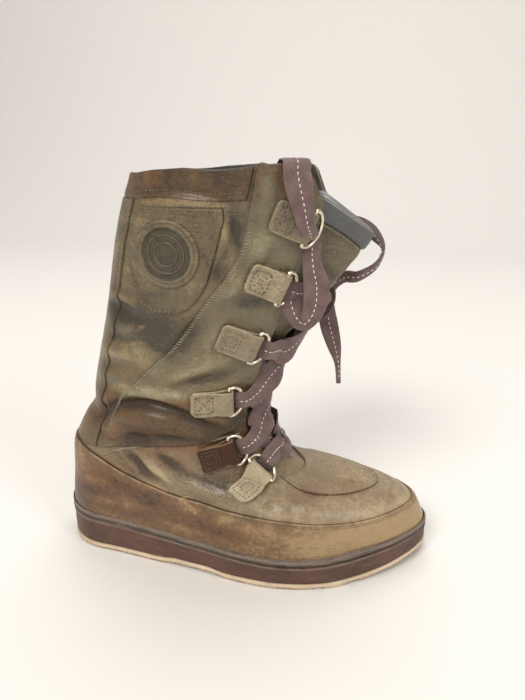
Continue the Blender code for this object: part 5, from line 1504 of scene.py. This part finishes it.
def patch(name, place, low, high, finish, stands_for, spacing=1.9 * MM, edge=1.1 * MM,
          ring=False, shape=None, rubbed=0.5):
    """place(a, b) gives u, v over the unit square; between low and high over the leather the
    edge rises as a quarter circle, and shape(u, v, skin, rim) may add height inside it. Dirt
    lies in a line along its foot, and the edge above that is rubbed."""
    probe = np.linspace(0, 1, 33)
    skin = last(*place(*np.meshgrid(probe, probe)))
    wide = np.median(np.linalg.norm(np.diff(skin, axis=1), axis=2).sum(1))
    tall = np.median(np.linalg.norm(np.diff(skin, axis=0), axis=2).sum(0))
    count = int(wide / spacing)
    a = np.arange(count) / count if ring else edge_steps(wide, spacing, edge)
    u, v = place(*np.meshgrid(a, edge_steps(tall, spacing, edge)))
    skin, normal = last(u, v), outward(u, v)
    rim = rim_distance(skin, ring)
    height = relief(skin)
    top = low + (high - low) * quarter_round(rim, edge)
    if shape is not None:
        top = top + shape(u, v, skin, rim)
    outer = skin + normal * (top + height)[..., None]
    inner = skin + normal * (low - SINK + height)[..., None]
    worn_edge = bell((rim - 1.1 * MM) / (1.2 * MM))
    # the drop of the rounded edge and the pressed stitch lines count as hollows here: painted
    # shade along the edge and in the stitch lines
    marks = marks_on(skin, rubbed * worn_edge, height + top - high)
    marks["tone"] = marks["tone"] - DIRT_LINE * bell(rim / (0.9 * MM))
    return piece(name, np.stack([outer, inner]), skin_faces(*u.shape, ring), finish,
                 stands_for, marks)


def groove(distance, place, width, depth):
    """Depth of a line pressed in at a distance from the edge, as the stitches pull it."""
    return -depth * bell((distance - place) / width)


# %% Rand and apron
RAND_TOP = np.array([(-30, 92), (-7, 85), (20, 73), (54, 64), (86, 60), (116, 57), (144, 54),
                     (172, 50.5), (200, 48), (229, 48), (250, 48)]) * MM
APRON_SEAM = np.array([(0.258, 0.0), (0.262, 0.060), (0.272, 0.098), (0.292, 0.120),
                       (0.325, 0.125), (0.360, 0.115), (0.410, 0.098)])


def height_v(u, height):
    """v at which the leather reaches height(x) at angle u, by bisection."""
    low, high = np.zeros_like(u), np.ones_like(u)
    for _ in range(22):
        mid = (low + high) / 2
        here = last(u, mid)
        above = here[..., 2] > height(here[..., 0])
        low, high = np.where(above, low, mid), np.where(above, mid, high)
    return low


def rand_v(u):
    """v of the rand's top edge."""
    return height_v(u, lambda x: table_at(RAND_TOP, x)[..., 1])


def rand_place(a, b):
    """Round the boot, from the feather line to the rand's top edge."""
    return a, b * rand_v(a[0])[None]


def rand_shape(u, v, skin, rim):
    """A line of stitches below the top edge, and the joint at the outer waist."""
    front = ease(skin[..., 0], 100 * MM, 120 * MM)
    upper_rim = np.where(v > 0.05, rim, 1.0)
    sewn = groove(upper_rim, 3.2 * MM, 0.9 * MM, 0.35 * MM) * front
    joint = -0.6 * MM * bell((skin[..., 0] - 112 * MM) / (0.8 * MM)) * (skin[..., 1] < 0)
    return sewn + joint + foot_flare(skin[..., 0]) * (1 - ease(v, 0.015, 0.075))


patch("rand_leather", rand_place, 0.0, RAND_OUT, RAND_LEATHER, ("rand",),
      ring=True, shape=rand_shape, spacing=2.0 * MM, rubbed=0.9)


APRON_OUT = 1.7 * MM


def apron_place(a, b):
    """Across the foot between the seams, and from the toe to the throat."""
    row = smooth_rows(APRON_SEAM, 0.02 + 0.98 * b[:, 0])
    return row[:, 1:] * (2 * a - 1), row[:, :1] + 0 * a


def apron_shape(u, v, skin, rim):
    """One line of stitches inside the edge."""
    return groove(rim, 2.6 * MM, 0.9 * MM, 0.4 * MM)


patch("apron_leather", apron_place, 0.0, APRON_OUT, FOOT_LEATHER, ("apron",),
      shape=apron_shape)

# %% Shaft panels, back stay and collar band
PANEL_SEAM = np.array([(0.199, 1.000), (0.196, 0.945), (0.194, 0.900), (0.203, 0.860),
                       (0.222, 0.818), (0.252, 0.744), (0.284, 0.691), (0.316, 0.631),
                       (0.353, 0.560), (0.374, 0.440)])
BACK_STAY_HALF, BACK_STAY_LOW, BAND_V = 0.112, 0.342, 0.962
COLLAR_FROM, COLLAR_WIDE = 0.203, 0.594       # u where the collar strip begins, and its length


def front_panel_place(side):
    """Between the ankle seam and the collar or the curved seam, from throat to back."""
    top = np.vstack([np.column_stack([np.linspace(THROAT_WIDE + 1e-4, 0.180, 4), np.ones(4)]),
                     smooth_rows(PANEL_SEAM, np.linspace(0, 1, 13))])

    def place(a, b):
        """From the throat to the back, and up from the ankle seam."""
        t = a[0]
        over = smooth_rows(top, t)
        low_u = THROAT_WIDE + 1e-4 + (0.374 - THROAT_WIDE) * t**1.15
        low_v = np.interp(low_u, ANKLE_SEAM[:, 0], ANKLE_SEAM[:, 1]) + 0.010
        u = on_side(low_u + (over[:, 0] - low_u) * b, side)
        return u, collar_v(u, low_v + (over[:, 1] - low_v) * b)
    return place


def panel_shape(u, v, skin, rim):
    """Two lines of stitches inside the edge."""
    return groove(rim, 2.4 * MM, 0.8 * MM, 0.3 * MM) + groove(rim, 5.4 * MM, 0.8 * MM, 0.3 * MM)


PANEL_OUT, STRIP_OUT, COLLAR_OUT = 1.9 * MM, 1.3 * MM, 0.8 * MM
for side, word in SIDES:
    patch("panel_" + word, front_panel_place(side), 0.0, PANEL_OUT, FRONT_LEATHER,
          ("front_panel_" + word,), shape=panel_shape)

patch("back_strip", lambda a, b: (0.5 + (2 * a - 1) * BACK_STAY_HALF,
                                  BACK_STAY_LOW + b * (BAND_V - 0.0012 - BACK_STAY_LOW)),
      0.0, STRIP_OUT, SHAFT_LEATHER, ("back_stay",), shape=panel_shape)
patch("collar_strip", lambda a, b: (COLLAR_FROM + a * COLLAR_WIDE, collar_v(
          COLLAR_FROM + a * COLLAR_WIDE, BAND_V + b * (1 - BAND_V))),
      0.0, COLLAR_OUT, SHAFT_LEATHER, ("collar_band",), edge=2.6 * MM, rubbed=0.1,
      shape=lambda u, v, skin, rim: groove(rim, 3.4 * MM, 0.7 * MM, 0.25 * MM))

# %% Shield patch and its plain round disc
# height, then x of the rear and of the front edge
SHIELD = np.array([(201.0, 66.0, 71.0), (206, 54.5, 84.5), (214, 48.5, 92.5), (224, 45, 98),
                   (239, 44, 103), (252, 45, 106.5), (261, 48, 109), (267.5, 54, 108.8)]) * MM
MEDALLION_X, MEDALLION_Z, MEDALLION_R = 72.5 * MM, 239.5 * MM, 21 * MM
SHIELD_LIFT = 2.1 * MM


def shield_place(a, b):
    """From the rear to the front edge, and up."""
    row = smooth_rows(SHIELD, b[:, 0])
    x = row[:, 1:2] + (row[:, 2:3] - row[:, 1:2]) * a
    return side_uv(x, row[:, :1] + 0 * x, -1)


def shield_shape(u, v, skin, rim):
    """Two lines of stitches inside the edge and a soft pad round the disc."""
    away = np.hypot(skin[..., 0] - MEDALLION_X, skin[..., 2] - MEDALLION_Z)
    pad = 0.5 * MM * bell((away - MEDALLION_R - 2 * MM) / (4 * MM))
    return groove(rim, 2.2 * MM, 0.7 * MM, 0.35 * MM) + groove(rim, 4.6 * MM, 0.7 * MM,
                                                               0.3 * MM) + pad


patch("shield_leather", shield_place, 0.0, SHIELD_LIFT, SHIELD_LEATHER,
      ("shield_patch",), spacing=1.3 * MM, shape=shield_shape)

# share of the radius, height over the shield in mm
DISC_PROFILE = np.array([(1.00, -0.6), (1.00, 0.9), (0.985, 1.4), (0.95, 1.75), (0.90, 1.8),
                         (0.87, 1.35), (0.85, 1.75), (0.80, 1.9), (0.765, 1.7), (0.745, 0.5),
                         (0.70, 0.35), (0.62, 0.45), (0.585, 0.40), (0.575, 1.0), (0.545, 1.0),
                         (0.53, 0.40), (0.40, 0.5), (0.375, 0.45), (0.365, 1.05), (0.335, 1.05),
                         (0.32, 0.45), (0.15, 0.6), (0.0, 0.7)])
DISC_COLUMNS = 140


def make_disc():
    """The profile turned round the disc's centre, laid on the curved side of the shaft."""
    fine = smooth_rows(DISC_PROFILE, np.linspace(0, 1, 90))
    turn = np.arange(DISC_COLUMNS) / DISC_COLUMNS * 2 * np.pi
    radius = np.clip(fine[:, :1], 0, 1) * MEDALLION_R
    x = MEDALLION_X + radius * np.cos(turn)
    z = MEDALLION_Z + radius * np.sin(turn)
    u, v = side_uv(x, z, -1)
    skin = last(u, v)
    worn = 0.12 * MM * np.sin(turn * 3 + 1.0) * np.sin(np.pi * fine[:, :1])
    lift = SHIELD_LIFT + fine[:, 1:] * MM + worn + relief(skin)
    points = skin + outward(u, v) * lift[..., None]
    base = points[:1].mean(1, keepdims=True) + [0, 1.2 * MM, 0]
    base = np.repeat(base, DISC_COLUMNS, axis=1)
    points = np.concatenate([base, points])
    raised = (fine[:, 1:] > 0.9) * (fine[:, :1] < 0.7)
    dark = np.where(fine[:, :1] < 0.75, -0.55, 0.45) + 0.9 * raised
    tone = np.concatenate([dark[:1], dark]) + 0 * points[..., 0]
    rise = np.concatenate([[0], np.clip((fine[:, 1] - 0.9) / 0.8, 0, 1) * 0.6])
    marks = {"tone": tone, "edge": rise[:, None] + 0 * points[..., 0]}
    return tube("round_disc", points, DISC_LEATHER, ("medallion",), marks)


make_disc()

# %% [markdown]
# ## Tongue
# The tongue runs up inside the throat, thin and leathery, and its slack top flops forward
# between the rings. A padded band is sewn over its upper edge.

# %% Tongue and its padded band
TONGUE_V, TONGUE_TOP_V, TONGUE_DROP_V, TONGUE_HALF = 0.43, 0.963, 0.050, 0.150
TONGUE_THICK, BAND_BULGE, BAND_SHARE = 2.6 * MM, 1.7 * MM, 0.062
TONGUE_WIDE, TONGUE_TALL, TONGUE_STEP = 170, 180, 1.8     # mm: its size and its grid's step


def tongue_place(s, t):
    """Middle of the tongue: s -1 to 1 across, t 0 to 1 up; its top leans out of the throat."""
    u = s * TONGUE_HALF
    middle = np.clip(1 - np.abs(u) / PROW_HALF, 0, 1)
    top = TONGUE_TOP_V - TONGUE_DROP_V * ease(middle, 0, 1)
    v = TONGUE_V + (top - TONGUE_V) * t
    under = -(WALL + 0.6 * MM + TONGUE_THICK / 2 + BAND_BULGE * ease(t, 0.80, 0.92))
    place = off_last(u, v, under + 0 * u)
    full = 1.2 * MM * ease(middle, 0, 1)
    place[..., 0] += prow(v, middle) + full * (1 - ease(v, 0.68, 0.75))
    return place


def tongue_skin(name, t_from, t_to, thick, finish, stands_for, edge):
    """Front and back of the tongue, thick(t) apart, with soft wrinkles across it."""
    up = edge_steps((t_to - t_from) * TONGUE_TALL * MM, TONGUE_STEP * MM, edge)
    s, t = np.meshgrid(edge_steps(TONGUE_WIDE * MM, TONGUE_STEP * MM, edge) * 2 - 1,
                       t_from + (t_to - t_from) * up)
    step = 1e-3
    across = tongue_place(s + step, t) - tongue_place(s - step, t)
    along = tongue_place(s, t + step) - tongue_place(s, t - step)
    normal = unit(np.cross(along, across))
    place = tongue_place(s, t)
    rim = rim_distance(place)
    half = thick(t) / 2 * quarter_round(rim, edge)
    wave = 0.35 * MM * np.sin(2 * np.pi * (t * 9 + 0.3 * np.sin(s * 5))) * (1 - s**2)
    wave = wave + 0.25 * MM * np.sin(2 * np.pi * (t * 23 + s * 1.5)) * bell(s / 0.4)
    wave = wave * (1 - 0.6 * (t > 1 - BAND_SHARE))
    front = place + normal * (half + wave)[..., None]
    back = place - normal * (half - wave)[..., None]
    # a darker tone overall, with painted shade in the troughs of the wrinkles and painted
    # highlight on their crests
    tone = -0.35 + 0.8 * wave / MM + 0 * s
    marks = {"tone": both(tone), "edge": both(bell(rim / (3 * MM)))}
    return piece(name, np.stack([front, back]), skin_faces(*s.shape), finish, stands_for,
                 marks)


def band_thick(t):
    """The padded band is fattest half way up: a half ellipse on top of the tongue."""
    bulge = np.sqrt(np.clip(1 - ((t - 1 + BAND_SHARE / 2) / (BAND_SHARE / 2 + 0.01)) ** 2, 0, 1))
    return TONGUE_THICK + 2 * BAND_BULGE * bulge


tongue_skin("tongue_leather", 0.005, 1 - BAND_SHARE + 0.004, lambda t: TONGUE_THICK + 0 * t,
            FRONT_LEATHER, ("tongue",), 1.2 * MM)
padded_band = tongue_skin("tongue_padding", 1 - BAND_SHARE + 0.004, 0.996, band_thick,
                          BAND_LEATHER, ("tongue_band",), 2.2 * MM)

# %% [markdown]
# ## Tabs and rings
# Each ring hangs in a folded strip of leather: the strip goes round the bar and its two ends
# lie flat on each other, sewn down in a crossed box. The strip is one skin carried round the
# fold, so the fold really is hollow; the ring is a wire carried round a D.

# %% Folded tabs
TAB_LEATHER_THICK = 1.45 * MM
TAB_CORNER = 3.8 * MM


def tab_line(length):
    """Side line of the strip's middle, (back, height): lower leaf, fold and upper leaf."""
    half = TAB_LEATHER_THICK / 2
    radius = FOLD_R - half
    low = np.array([(share * length, half) for share in (1.0, 0.8, 0.6, 0.4, 0.2)])
    arc = np.radians(np.linspace(270, 90, 13))
    fold = np.column_stack([radius * np.cos(arc), radius * np.sin(arc) + FOLD_R])
    leaf = [(0.16, 5.0), (0.30, 3.3), (0.45, 2.5), (0.62, 2.25), (0.8, 2.2), (1.0, 2.2)]
    high = np.array([(share * length, height * MM) for share, height in leaf])
    return np.vstack([low, fold, high])


TAB_TONES = {"1": 0.75, "2": 0.0, "3": 0.35, "4": 0.0, "5": 0.4, "6": -0.35}
# the lowest tab lies where the leather turns from the top of the foot to its side, so its rear
# and its front corner are given: u, v of each
TAB_CORNERS = {"1": ((0.2167, 0.3185), (0.2192, 0.2523))}


def tab_spot(row, side, reach, wide, back, bar):
    """u, v of spots on a tab, reach behind its bar and wide along it, in the side view."""
    number, x, z, _, length, _ = row
    in_view = reach[..., None] * back[[0, 2]] + wide[..., None] * bar[[0, 2]]
    u, v = side_uv(x * MM + in_view[..., 0], z * MM + in_view[..., 1], side)
    if number not in TAB_CORNERS:
        return u, v
    u, v = side_uv(x * MM + wide * bar[0], z * MM + wide * bar[2], side)
    (rear_u, rear_v), (front_u, front_v) = TAB_CORNERS[number]
    rear = (1 + side * wide / TAB_HALF) / 2
    end_u, end_v = front_u + (rear_u - front_u) * rear, front_v + (rear_v - front_v) * rear
    share = reach / (length * MM)
    return u + (on_side(end_u, side) - u) * share, v + (end_v - v) * share


def tab_surface(row, side, line, w, above):
    """Points of the strip: its line, w across it, above the line; far from the fold it bends
    with the shaft, and near the bar it stays straight."""
    _, x, z, lean, length, lift = row
    place, back, bar, out = bar_frame(x * MM, z * MM, lean, side)
    along = unit(np.gradient(line, axis=0))
    away = np.column_stack([-along[:, 1], along[:, 0]])
    flat = line[:, None] + away[:, None] * above[..., None]
    reach, height = flat[..., 0], flat[..., 1] + lift * MM
    corner = np.clip((np.abs(w) * TAB_HALF - TAB_HALF + TAB_CORNER) / TAB_CORNER, 0, 1)
    short = TAB_CORNER * (1 - np.sqrt(1 - corner**2))
    reach = reach - short * ease(reach, 0.45 * length * MM, length * MM)
    rigid = place + reach[..., None] * back + (w * TAB_HALF)[..., None] * bar
    rigid = rigid + height[..., None] * out
    u, v = tab_spot(row, side, reach, w * TAB_HALF, back, bar)
    skin = last(u, v)
    bent = skin + outward(u, v) * (height + relief(skin) * 0.6)[..., None]
    share = ease(reach, 2 * MM, 9 * MM)[..., None]
    return rigid * (1 - share) + bent * share


def make_tab(row, side, word, finish):
    """A strip folded over a ring's bar, its two skins along one line, rounded at the edges."""
    number, middle = row[0], tab_line(row[4] * MM)
    line, at = even_path(np.column_stack([middle, 0 * middle[:, 0]]), 0.9 * MM)
    line = line[:, :2]
    w = (edge_steps(2 * TAB_HALF, 1.3 * MM, 0.7 * MM) * 2 - 1)[None]
    rim = np.minimum(at, at[-1] - at)[:, None]
    rim = np.minimum(rim, (1 - np.abs(w)) * TAB_HALF)
    half = TAB_LEATHER_THICK / 2 * quarter_round(rim, 0.7 * MM)
    leaf = (at[:, None] > at[-1] * 0.55)
    press = groove(rim, 2.1 * MM, 0.6 * MM, 0.22 * MM) * leaf
    outer = tab_surface(row, side, line, w + 0 * rim, half + press)
    inner = tab_surface(row, side, line, w + 0 * rim, -half)
    tone = TAB_TONES[number] + 0.075 * np.sin(at * 900 + side)[:, None] + 0 * rim
    fold = bell((at - at[-1] * 0.47)[:, None] / (4 * MM))
    marks = {"tone": both(tone + 0.5 * fold),
             "edge": both(np.maximum(bell(rim / (1.2 * MM)), 0.55 * fold))}
    return piece("folded_tab_%s_%s" % (word, number), np.stack([outer, inner]),
                 skin_faces(*outer.shape[:2]), finish,
                 ("tab_%s_%s" % (word, number),), marks)


def tab_run(row, side, spots):
    """A stitch line over the upper leaf through (share of the length, share of the width)."""
    _, x, z, lean, length, lift = row
    fine = []
    for (s0, w0), (s1, w1) in zip(spots, spots[1:]):
        t = np.linspace(0, 1, 24, endpoint=False)[:, None]
        fine.append(np.array([s0, w0]) * (1 - t) + np.array([s1, w1]) * t)
    fine = np.vstack(fine + [np.array([spots[-1]])])
    _, back, bar, _ = bar_frame(x * MM, z * MM, lean, side)
    reach, wide = fine[:, 0] * length * MM, fine[:, 1] * TAB_HALF
    u, v = tab_spot(row, side, reach, wide, back, bar)
    skin, normal = last(u, v), outward(u, v)
    top = np.interp(fine[:, 0], [0.30, 0.45, 0.62, 1.0], [4.1, 3.3, 3.0, 2.95]) * MM + lift * MM
    return skin + normal * (top + relief(skin) * 0.6)[:, None], normal


TAB_RUNS = []             # lines of thread on the tabs: points and normals
# shares of a tab's length and half width
BOX = [(0.40, -0.68), (0.88, -0.68), (0.88, 0.68), (0.40, 0.68), (0.40, -0.68)]
INNER_BOX = [(0.50, -0.34), (0.78, -0.34), (0.78, 0.34), (0.50, 0.34), (0.50, -0.34)]
CROSS = [[(0.40, -0.68), (0.88, 0.68)], [(0.40, 0.68), (0.88, -0.68)]]
for row in RING_ROWS:
    for side, word in SIDES:
        finish = BROWN_TAB_LEATHER if row[0] == "2" else TAB_LEATHER
        make_tab(row, side, word, finish)
        for spots in [BOX] + (CROSS if row[0] in "356" else [INNER_BOX]):
            TAB_RUNS.append(tab_run(row, side, spots))


# %% Wire rings
WIRE_BEND, BOW_FOOT, WIRE_SIDES = 1.6 * MM, 2.0 * MM, 14


def make_wire_ring(row, side, word):
    """A round wire carried round a D: straight bar, rounded corners and an oval bow."""
    centre, bar, ahead, up = ring_frame(row, side)
    bow = np.radians(np.linspace(4, 176, 44))
    corner = np.radians(np.linspace(-90, 0, 7))
    straight = RING_HALF - WIRE_BEND
    path = [(x, 0.0) for x in np.linspace(-straight, straight, 14)]
    path += [(straight + WIRE_BEND * math.cos(t), WIRE_BEND + WIRE_BEND * math.sin(t))
             for t in corner[1:]]
    path += [(RING_HALF * math.cos(t), BOW_FOOT + (RING_DEEP - BOW_FOOT) * math.sin(t))
             for t in bow]
    path += [(-straight - WIRE_BEND * math.cos(t), WIRE_BEND + WIRE_BEND * math.sin(t))
             for t in corner[::-1][:-1]]
    path = np.array(path)
    along = unit(np.roll(path, -1, axis=0) - np.roll(path, 1, axis=0))
    across = np.column_stack([along[:, 1], -along[:, 0]])
    turn = np.arange(WIRE_SIDES) / WIRE_SIDES * 2 * np.pi
    flat = path[:, None] + across[:, None] * (WIRE_R * np.cos(turn))[None, :, None]
    high = WIRE_R * np.sin(turn)[None, :, None]
    grid = centre + flat[..., :1] * bar + flat[..., 1:] * ahead + high * up
    grid = np.concatenate([grid, grid[:1]])
    return tube("wire_ring_%s_%s" % (word, row[0]), grid, NICKEL,
                ("ring_%s_%s" % (word, row[0]),))


for row in RING_ROWS:
    for side, word in SIDES:
        make_wire_ring(row, side, word)

# %% [markdown]
# ## Stitches
# A seam is read by its thread, so each stitch is a small hump of thread of its own, half sunk
# in the leather. They are all alike and there are thousands, so each has only a few faces,
# and every seam's stitches are one piece.

# %% Lines of stitches
STITCH_RINGS = np.array([(0.0, 0.0, -0.45), (0.12, 0.8, 0.15), (0.5, 1.0, 0.55),
                         (0.88, 0.8, 0.15), (1.0, 0.0, -0.45)])   # place, girth, height
STITCH_SIDES = 5


def surface_run(u, v, lift):
    """A seam line over the leather: its points with the creases, and its normals."""
    skin, normal = last(u, v), outward(u, v)
    return skin + normal * (lift + relief(skin))[:, None], normal


def stitches(name, runs, finish, length, gap, thick, lean=0.0, slant=0.0):
    """Along each run, humps of thread: rings of STITCH_RINGS set between two needle holes;
    lean turns them by turns left and right, slant turns them all alike, mirrored inside."""
    grids = []
    for points, normals in runs:
        at = distance_along(points)
        count = int(at[-1] / (length + gap))
        if count < 1:
            continue
        start = (np.arange(count) + 0.5) * at[-1] / count - length / 2
        a, b, up = (np.stack([np.interp(start + on, at, column) for column in rows.T], -1)
                    for on, rows in ((0, points), (length, points), (length / 2, normals)))
        up = unit(up)
        middle, ahead = (a + b) / 2, b - a
        sideways = np.cross(up, ahead)
        turn = math.radians(lean) * np.where(np.arange(count) % 2, 1, -1)[:, None]
        turn = turn + math.radians(slant) * np.where(up[:, 1:2] < 0, -1, 1)
        ahead = ahead * np.cos(turn) + sideways * np.sin(turn)
        wide = unit(np.cross(up, ahead))
        place, girth, height = STITCH_RINGS.T
        angle = np.arange(STITCH_SIDES) / STITCH_SIDES * 2 * np.pi
        centre = middle[:, None] + ahead[:, None] * (place - 0.5)[None, :, None]
        centre = centre + up[:, None] * (height * thick)[None, :, None]
        ring = (wide[:, None, None] * np.cos(angle)[None, None, :, None]
                + up[:, None, None] * np.sin(angle)[None, None, :, None] * 0.8)
        grids.append(centre[:, :, None] + ring * (girth * thick / 2)[None, :, None, None])
    grid = np.concatenate(grids)
    one = grid_faces(len(STITCH_RINGS), STITCH_SIDES, ring=True)
    size = len(STITCH_RINGS) * STITCH_SIDES
    faces = (one[None] + np.arange(len(grid))[:, None, None] * size).reshape(-1, 4)
    return piece(name, grid, faces, finish)


SEAM_STEPS = np.linspace(0, 1, 400)


def rim_lines(place, insets, wide, tall, lift, parts="tblr"):
    """Seam lines inside a patch's edges (top, bottom, left, right) at insets in metres."""
    runs = []
    for inset in insets:
        across, up = inset / wide, inset / tall
        t = np.linspace(across, 1 - across, 400)
        s = np.linspace(up, 1 - up, 400)
        for part in parts:
            a = {"t": t, "b": t, "l": across + 0 * s, "r": 1 - across + 0 * s}[part]
            b = {"t": 1 - up + 0 * t, "b": up + 0 * t, "l": s, "r": s}[part]
            u, v = (c[:, 0] for c in place(a[:, None], b[:, None]))
            runs.append(surface_run(u, v, lift))
    return runs


def side_seam(points, side, lift):
    """A seam line through x, z places (mm) in the side view."""
    xz = smooth_rows(np.array(points, float).reshape(-1, 2) * MM, SEAM_STEPS)
    u, v = side_uv(xz[:, 0], xz[:, 1], side)
    return surface_run(u, v, lift)


def welt(name, runs, wide, high, finish):
    """A raised seam: a half oval, wide by high, carried along each line over the leather."""
    grids = []
    arc = np.linspace(0, 2 * np.pi, 8, endpoint=False)
    for points, normals in runs:
        across, out = ribbon_frame(points, normals)
        taper = np.sqrt(np.clip(np.sin(np.pi * np.linspace(0, 1, len(points))), 0, 1))
        taper = np.clip(taper * 4, 0, 1)[:, None, None]
        oval = (across[:, None] * np.cos(arc)[:, None] * wide / 2
                + out[:, None] * np.sin(arc)[:, None] * high)
        grids.append(points[:, None] + oval * taper)
    shape = grids[0].shape[:2]
    one = grid_faces(*shape, ring=True)
    faces = (one[None] + np.arange(len(grids))[:, None, None] * shape[0] * shape[1])
    marks = {"edge": np.ones(len(grids) * shape[0] * shape[1]) * 0.55}
    return piece(name, np.stack(grids), faces.reshape(-1, 4), finish, marks=marks)


shield_runs = rim_lines(shield_place, (2.2 * MM, 4.6 * MM), 58 * MM, 66 * MM, 1.95 * MM)
stitches("shield_stitches", shield_runs, OLIVE_THREAD, 2.1 * MM, 0.6 * MM, 0.75 * MM)
turns = np.linspace(0, 2 * np.pi, 200)
ring_u, ring_v = side_uv(MEDALLION_X + MEDALLION_R * 0.87 * np.cos(turns),
                         MEDALLION_Z + MEDALLION_R * 0.87 * np.sin(turns), -1)
stitches("disc_stitches", [surface_run(ring_u, ring_v, SHIELD_LIFT + 1.45 * MM)], OLIVE_THREAD,
         1.6 * MM, 0.8 * MM, 0.6 * MM)
stitches("tab_stitches", TAB_RUNS, DARK_THREAD, 1.7 * MM, 0.8 * MM, 0.6 * MM)
stitches("lace_stitches", LACE_RUNS, LACE_THREAD, 2.2 * MM, 1.3 * MM, 0.75 * MM)

# %% Seams of the shaft
seam_u, seam_v = smooth_rows(PANEL_SEAM, SEAM_STEPS).T
panel_runs, whip_runs = [], []
for side in (-1, 1):
    # along the curved seam: a line of stitches inside it, and the whip stitches over it
    u, v = seam_u[:150] - 0.013, seam_v[:150]
    panel_runs.append(surface_run(on_side(u, side), collar_v(u, v), PANEL_OUT - THREAD_OFF))
    whip_runs.append(surface_run(on_side(seam_u[60:] - 0.005, side), seam_v[60:],
                                 PANEL_OUT - 0.15 * MM))
    # two lines below the collar strip, one in the back stay and one in the strip
    u = on_side(np.linspace(0.206, 0.384, 400), side)
    for v_place in (BAND_V - 0.010, BAND_V - 0.019):
        panel_runs.append(surface_run(u, v_place - 0.012 * bell((u - 0.5) / 0.12), THREAD_OFF))
    u = np.full(400, 0.5 + side * (BACK_STAY_HALF - 0.013))
    panel_runs.append(surface_run(u, np.linspace(0.36, 0.935, 400), STRIP_OUT - THREAD_OFF))
    u = on_side(np.linspace(0.210, 0.485, 400), side)
    panel_runs.append(surface_run(u, collar_v(u, np.full(400, BAND_V + 0.010)), COLLAR_OUT))
stitches("shaft_stitches", panel_runs, OLIVE_THREAD, 2.0 * MM, 1.0 * MM, 0.55 * MM)
stitches("whip_stitches", whip_runs, PALE_THREAD, 3.5 * MM, -1.3 * MM, 0.9 * MM,
         slant=52)

# %% Seams of the foot, and the raised seam under the ankle
RAND_SEWN_FROM_X = 96 * MM
u = np.linspace(0, 1, 1200)
u = u[table_at(SOLE_PLAN, last(u, 0.1)[:, 0])[:, 0] > RAND_SEWN_FROM_X]
u = np.concatenate([u[u > 0.5] - 1, u[u <= 0.5]])
foot_runs = [surface_run(u, rand_v(u) - inset / (250 * MM), RAND_OUT - THREAD_OFF)
             for inset in (2.6 * MM, 4.8 * MM)]
foot_runs += rim_lines(apron_place, (2.6 * MM,), 96 * MM, 92 * MM, APRON_OUT - 0.3 * MM,
                       parts="blr")
stitches("foot_stitches", foot_runs, OLIVE_THREAD, 2.0 * MM, 1.0 * MM, 0.6 * MM)
welt_runs = [side_seam((4, 82, 18, 89, 40, 97, 60, 101.7, 80, 105, 100, 107.5, 112, 109), side,
                       THREAD_OFF) for side in (-1, 1)]
welt("ankle_welt", welt_runs, 2.2 * MM, 0.8 * MM, TAB_LEATHER)
heel_runs = [side_seam((20, 137, 16, 128, 12, 118, 8, 108), side, THREAD_OFF) for side in (-1, 1)]
stitches("heel_stitches", heel_runs, OLIVE_THREAD, 3.2 * MM, -0.9 * MM, 0.6 * MM,
         lean=55)

# %% Insole
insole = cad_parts["insole"]
insole.data.materials.clear()
insole.data.materials.append(FELT)

# %% [markdown]
# ## Floor, light and finish
# A plain pale floor that sweeps up behind the boot, and soft lamps on both sides, as in a
# small studio. The lamps are wide, so the oiled leather shows long soft highlights along its
# folds.

# %% Floor, lamps and sky
FLOOR_HALF, SWEEP_START, SWEEP_RADIUS, SWEEP_TOP = 3.0, 1.5, 1.2, 3.2
bend = np.radians(np.linspace(0, 90, 25))
profile = np.vstack([[(-FLOOR_HALF, 0)], np.column_stack([
    SWEEP_START + SWEEP_RADIUS * np.sin(bend), SWEEP_RADIUS * (1 - np.cos(bend))]),
    [(SWEEP_START + SWEEP_RADIUS, SWEEP_TOP)]])
sweep = np.stack([np.column_stack([np.full(len(profile), x), profile])
                  for x in (FLOOR_HALF, -FLOOR_HALF)])
floor_mesh = bpy.data.meshes.new("floor")
floor_mesh.from_pydata(sweep.reshape(-1, 3).tolist(), [], grid_faces(*sweep.shape[:2]).tolist())
floor_mesh.shade_smooth()
floor = bpy.data.objects.new("floor", floor_mesh)
floor_mesh.materials.append(material("floor paint", roughness=0.8, base=(0.74, 0.73, 0.71))[0])
bpy.context.collection.objects.link(floor)


def lamp(name, place, aim, size, power, tint):
    """A wide lamp at place that looks at aim, with its power in watts."""
    light = bpy.data.lights.new(name, "AREA")
    light.shape = "RECTANGLE"
    light.size, light.size_y = size
    light.energy = power
    light.color = tint
    made = bpy.data.objects.new(name, light)
    made.location = place
    way = np.array(aim) - np.array(place)
    made.rotation_euler = (math.atan2(np.hypot(way[0], way[1]), -way[2]), 0,
                           math.atan2(way[0], -way[1]) + math.pi)
    bpy.context.collection.objects.link(made)


lamp("key lamp", (-0.8, -2.2, 2.4), (0.1, 0, 0.15), (1.4, 1.0), 78.0, (1.0, 0.95, 0.88))
lamp("side lamp", (2.6, -1.4, 1.8), (0.1, 0, 0.12), (1.2, 1.2), 36.0, (1.0, 0.94, 0.86))
lamp("top lamp", (0.1, 0.9, 3.0), (0.1, 0, 0.1), (2.2, 1.6), 42.0, (1.0, 0.97, 0.94))
sky = bpy.data.worlds.new("sky")
sky.use_nodes = True
backdrop = sky.node_tree.nodes["Background"].inputs
backdrop["Color"].default_value = colour(1.0, 0.96, 0.92)
backdrop["Strength"].default_value = 0.42
bpy.context.scene.world = sky
bpy.context.scene.view_settings.view_transform = "Standard"
